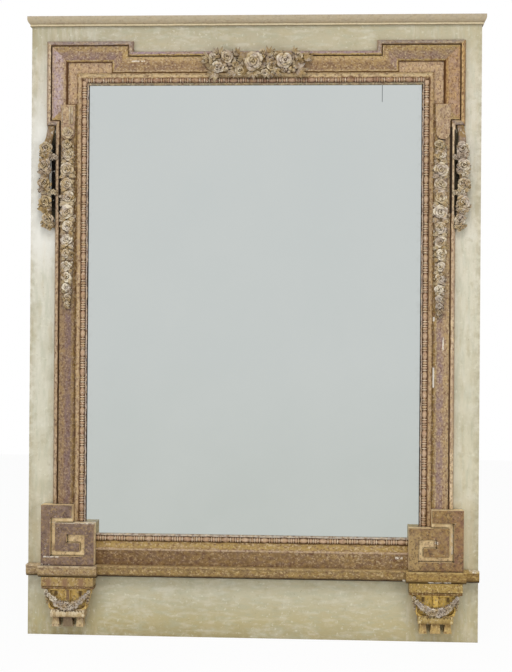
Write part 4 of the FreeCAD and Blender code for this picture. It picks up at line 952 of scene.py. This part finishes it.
def looked_at(tree, camera_share):
    """A mask of the rays that look at a surface: a share of the camera's, all from mirrors or glass."""
    rays = add(tree, "LightPath")
    seen = add(tree, "Math", {0: rays.outputs["Is Camera Ray"], 1: camera_share}, 0, operation="MULTIPLY")
    for ray in ("Is Glossy Ray", "Is Transmission Ray"):
        seen = add(tree, "Math", {0: seen, 1: rays.outputs[ray]}, 0, operation="MAXIMUM")
    return seen


# The floor is matt and off-white in the light that it gives back, and glows white where it is looked at.
floor_mesh = bpy.data.meshes.new("floor")
corners = [(x * FLOOR_HALF, y * FLOOR_HALF, 0) for x, y in ((-1, -1), (1, -1), (1, 1), (-1, 1))]
floor_mesh.from_pydata(corners, [], [(0, 1, 2, 3)])
floor = bpy.data.objects.new("floor", floor_mesh)
bpy.context.scene.collection.objects.link(floor)
pale_floor, tree, shader = new_finish("pale_floor", Base_Color=linear("#F4F4F2"), Roughness=0.9)
glow = add(tree, "Emission", {"Color": "#FFFFFF", "Strength": 1.0}, 0)
mixed = add(tree, "MixShader", {0: looked_at(tree, FLOOR_SEEN), 1: shader.outputs["BSDF"], 2: glow}, 0)
tree.links.new(mixed, tree.nodes["Material Output"].inputs["Surface"])
floor_mesh.materials.append(pale_floor)

world = bpy.data.worlds.new("studio")
world.use_nodes = True
bpy.context.scene.world = world
tree = world.node_tree
tree.nodes.clear()
strength = add(tree, "MapRange", {"Value": looked_at(tree, 1.0), "To Min": WORLD_LIGHT, "To Max": 1.0}, 0)
backdrop = add(tree, "Background", {"Color": "#FFFFFF", "Strength": strength}, 0)
add(tree, "OutputWorld", {"Surface": backdrop})

for name, lamp_place, size, power in LAMPS:
    lamp = bpy.data.lights.new(name, "AREA")
    lamp.size = size
    lamp.energy = power
    holder = bpy.data.objects.new(name, lamp)
    holder.location = lamp_place
    holder.rotation_euler = (LAMP_AIM - Vector(lamp_place)).to_track_quat("-Z", "Y").to_euler()
    holder.visible_glossy = False
    bpy.context.scene.collection.objects.link(holder)

# Camera: level, four metres away and a little to the right of the middle, turned towards the object. Its
# place, angles and focal length were worked out from the edges of the frame in the photograph.

SENSOR_WIDTH = 36.0
PICTURE_HEIGHT = 672
FOCAL_PIXELS = 1317.9
CAMERA_PLACE = (0.2293, -4.032, 0.9141)
TURN_DEGREES = 3.144
TILT_DEGREES = 0.064
LEAN_DEGREES = 0.429

camera = bpy.data.cameras.new("camera")
camera.sensor_width = SENSOR_WIDTH
camera.lens = FOCAL_PIXELS * SENSOR_WIDTH / PICTURE_HEIGHT
viewer = bpy.data.objects.new("camera", camera)
turn = Matrix.Rotation(math.radians(TURN_DEGREES), 4, "Z")
level = Matrix.Rotation(math.radians(90 + TILT_DEGREES), 4, "X")
lean = Matrix.Rotation(math.radians(LEAN_DEGREES), 4, "Z")
viewer.matrix_world = Matrix.Translation(CAMERA_PLACE) @ turn @ level @ lean
bpy.context.scene.collection.objects.link(viewer)
bpy.context.scene.camera = viewer
bpy.context.scene.view_settings.view_transform = "Standard"
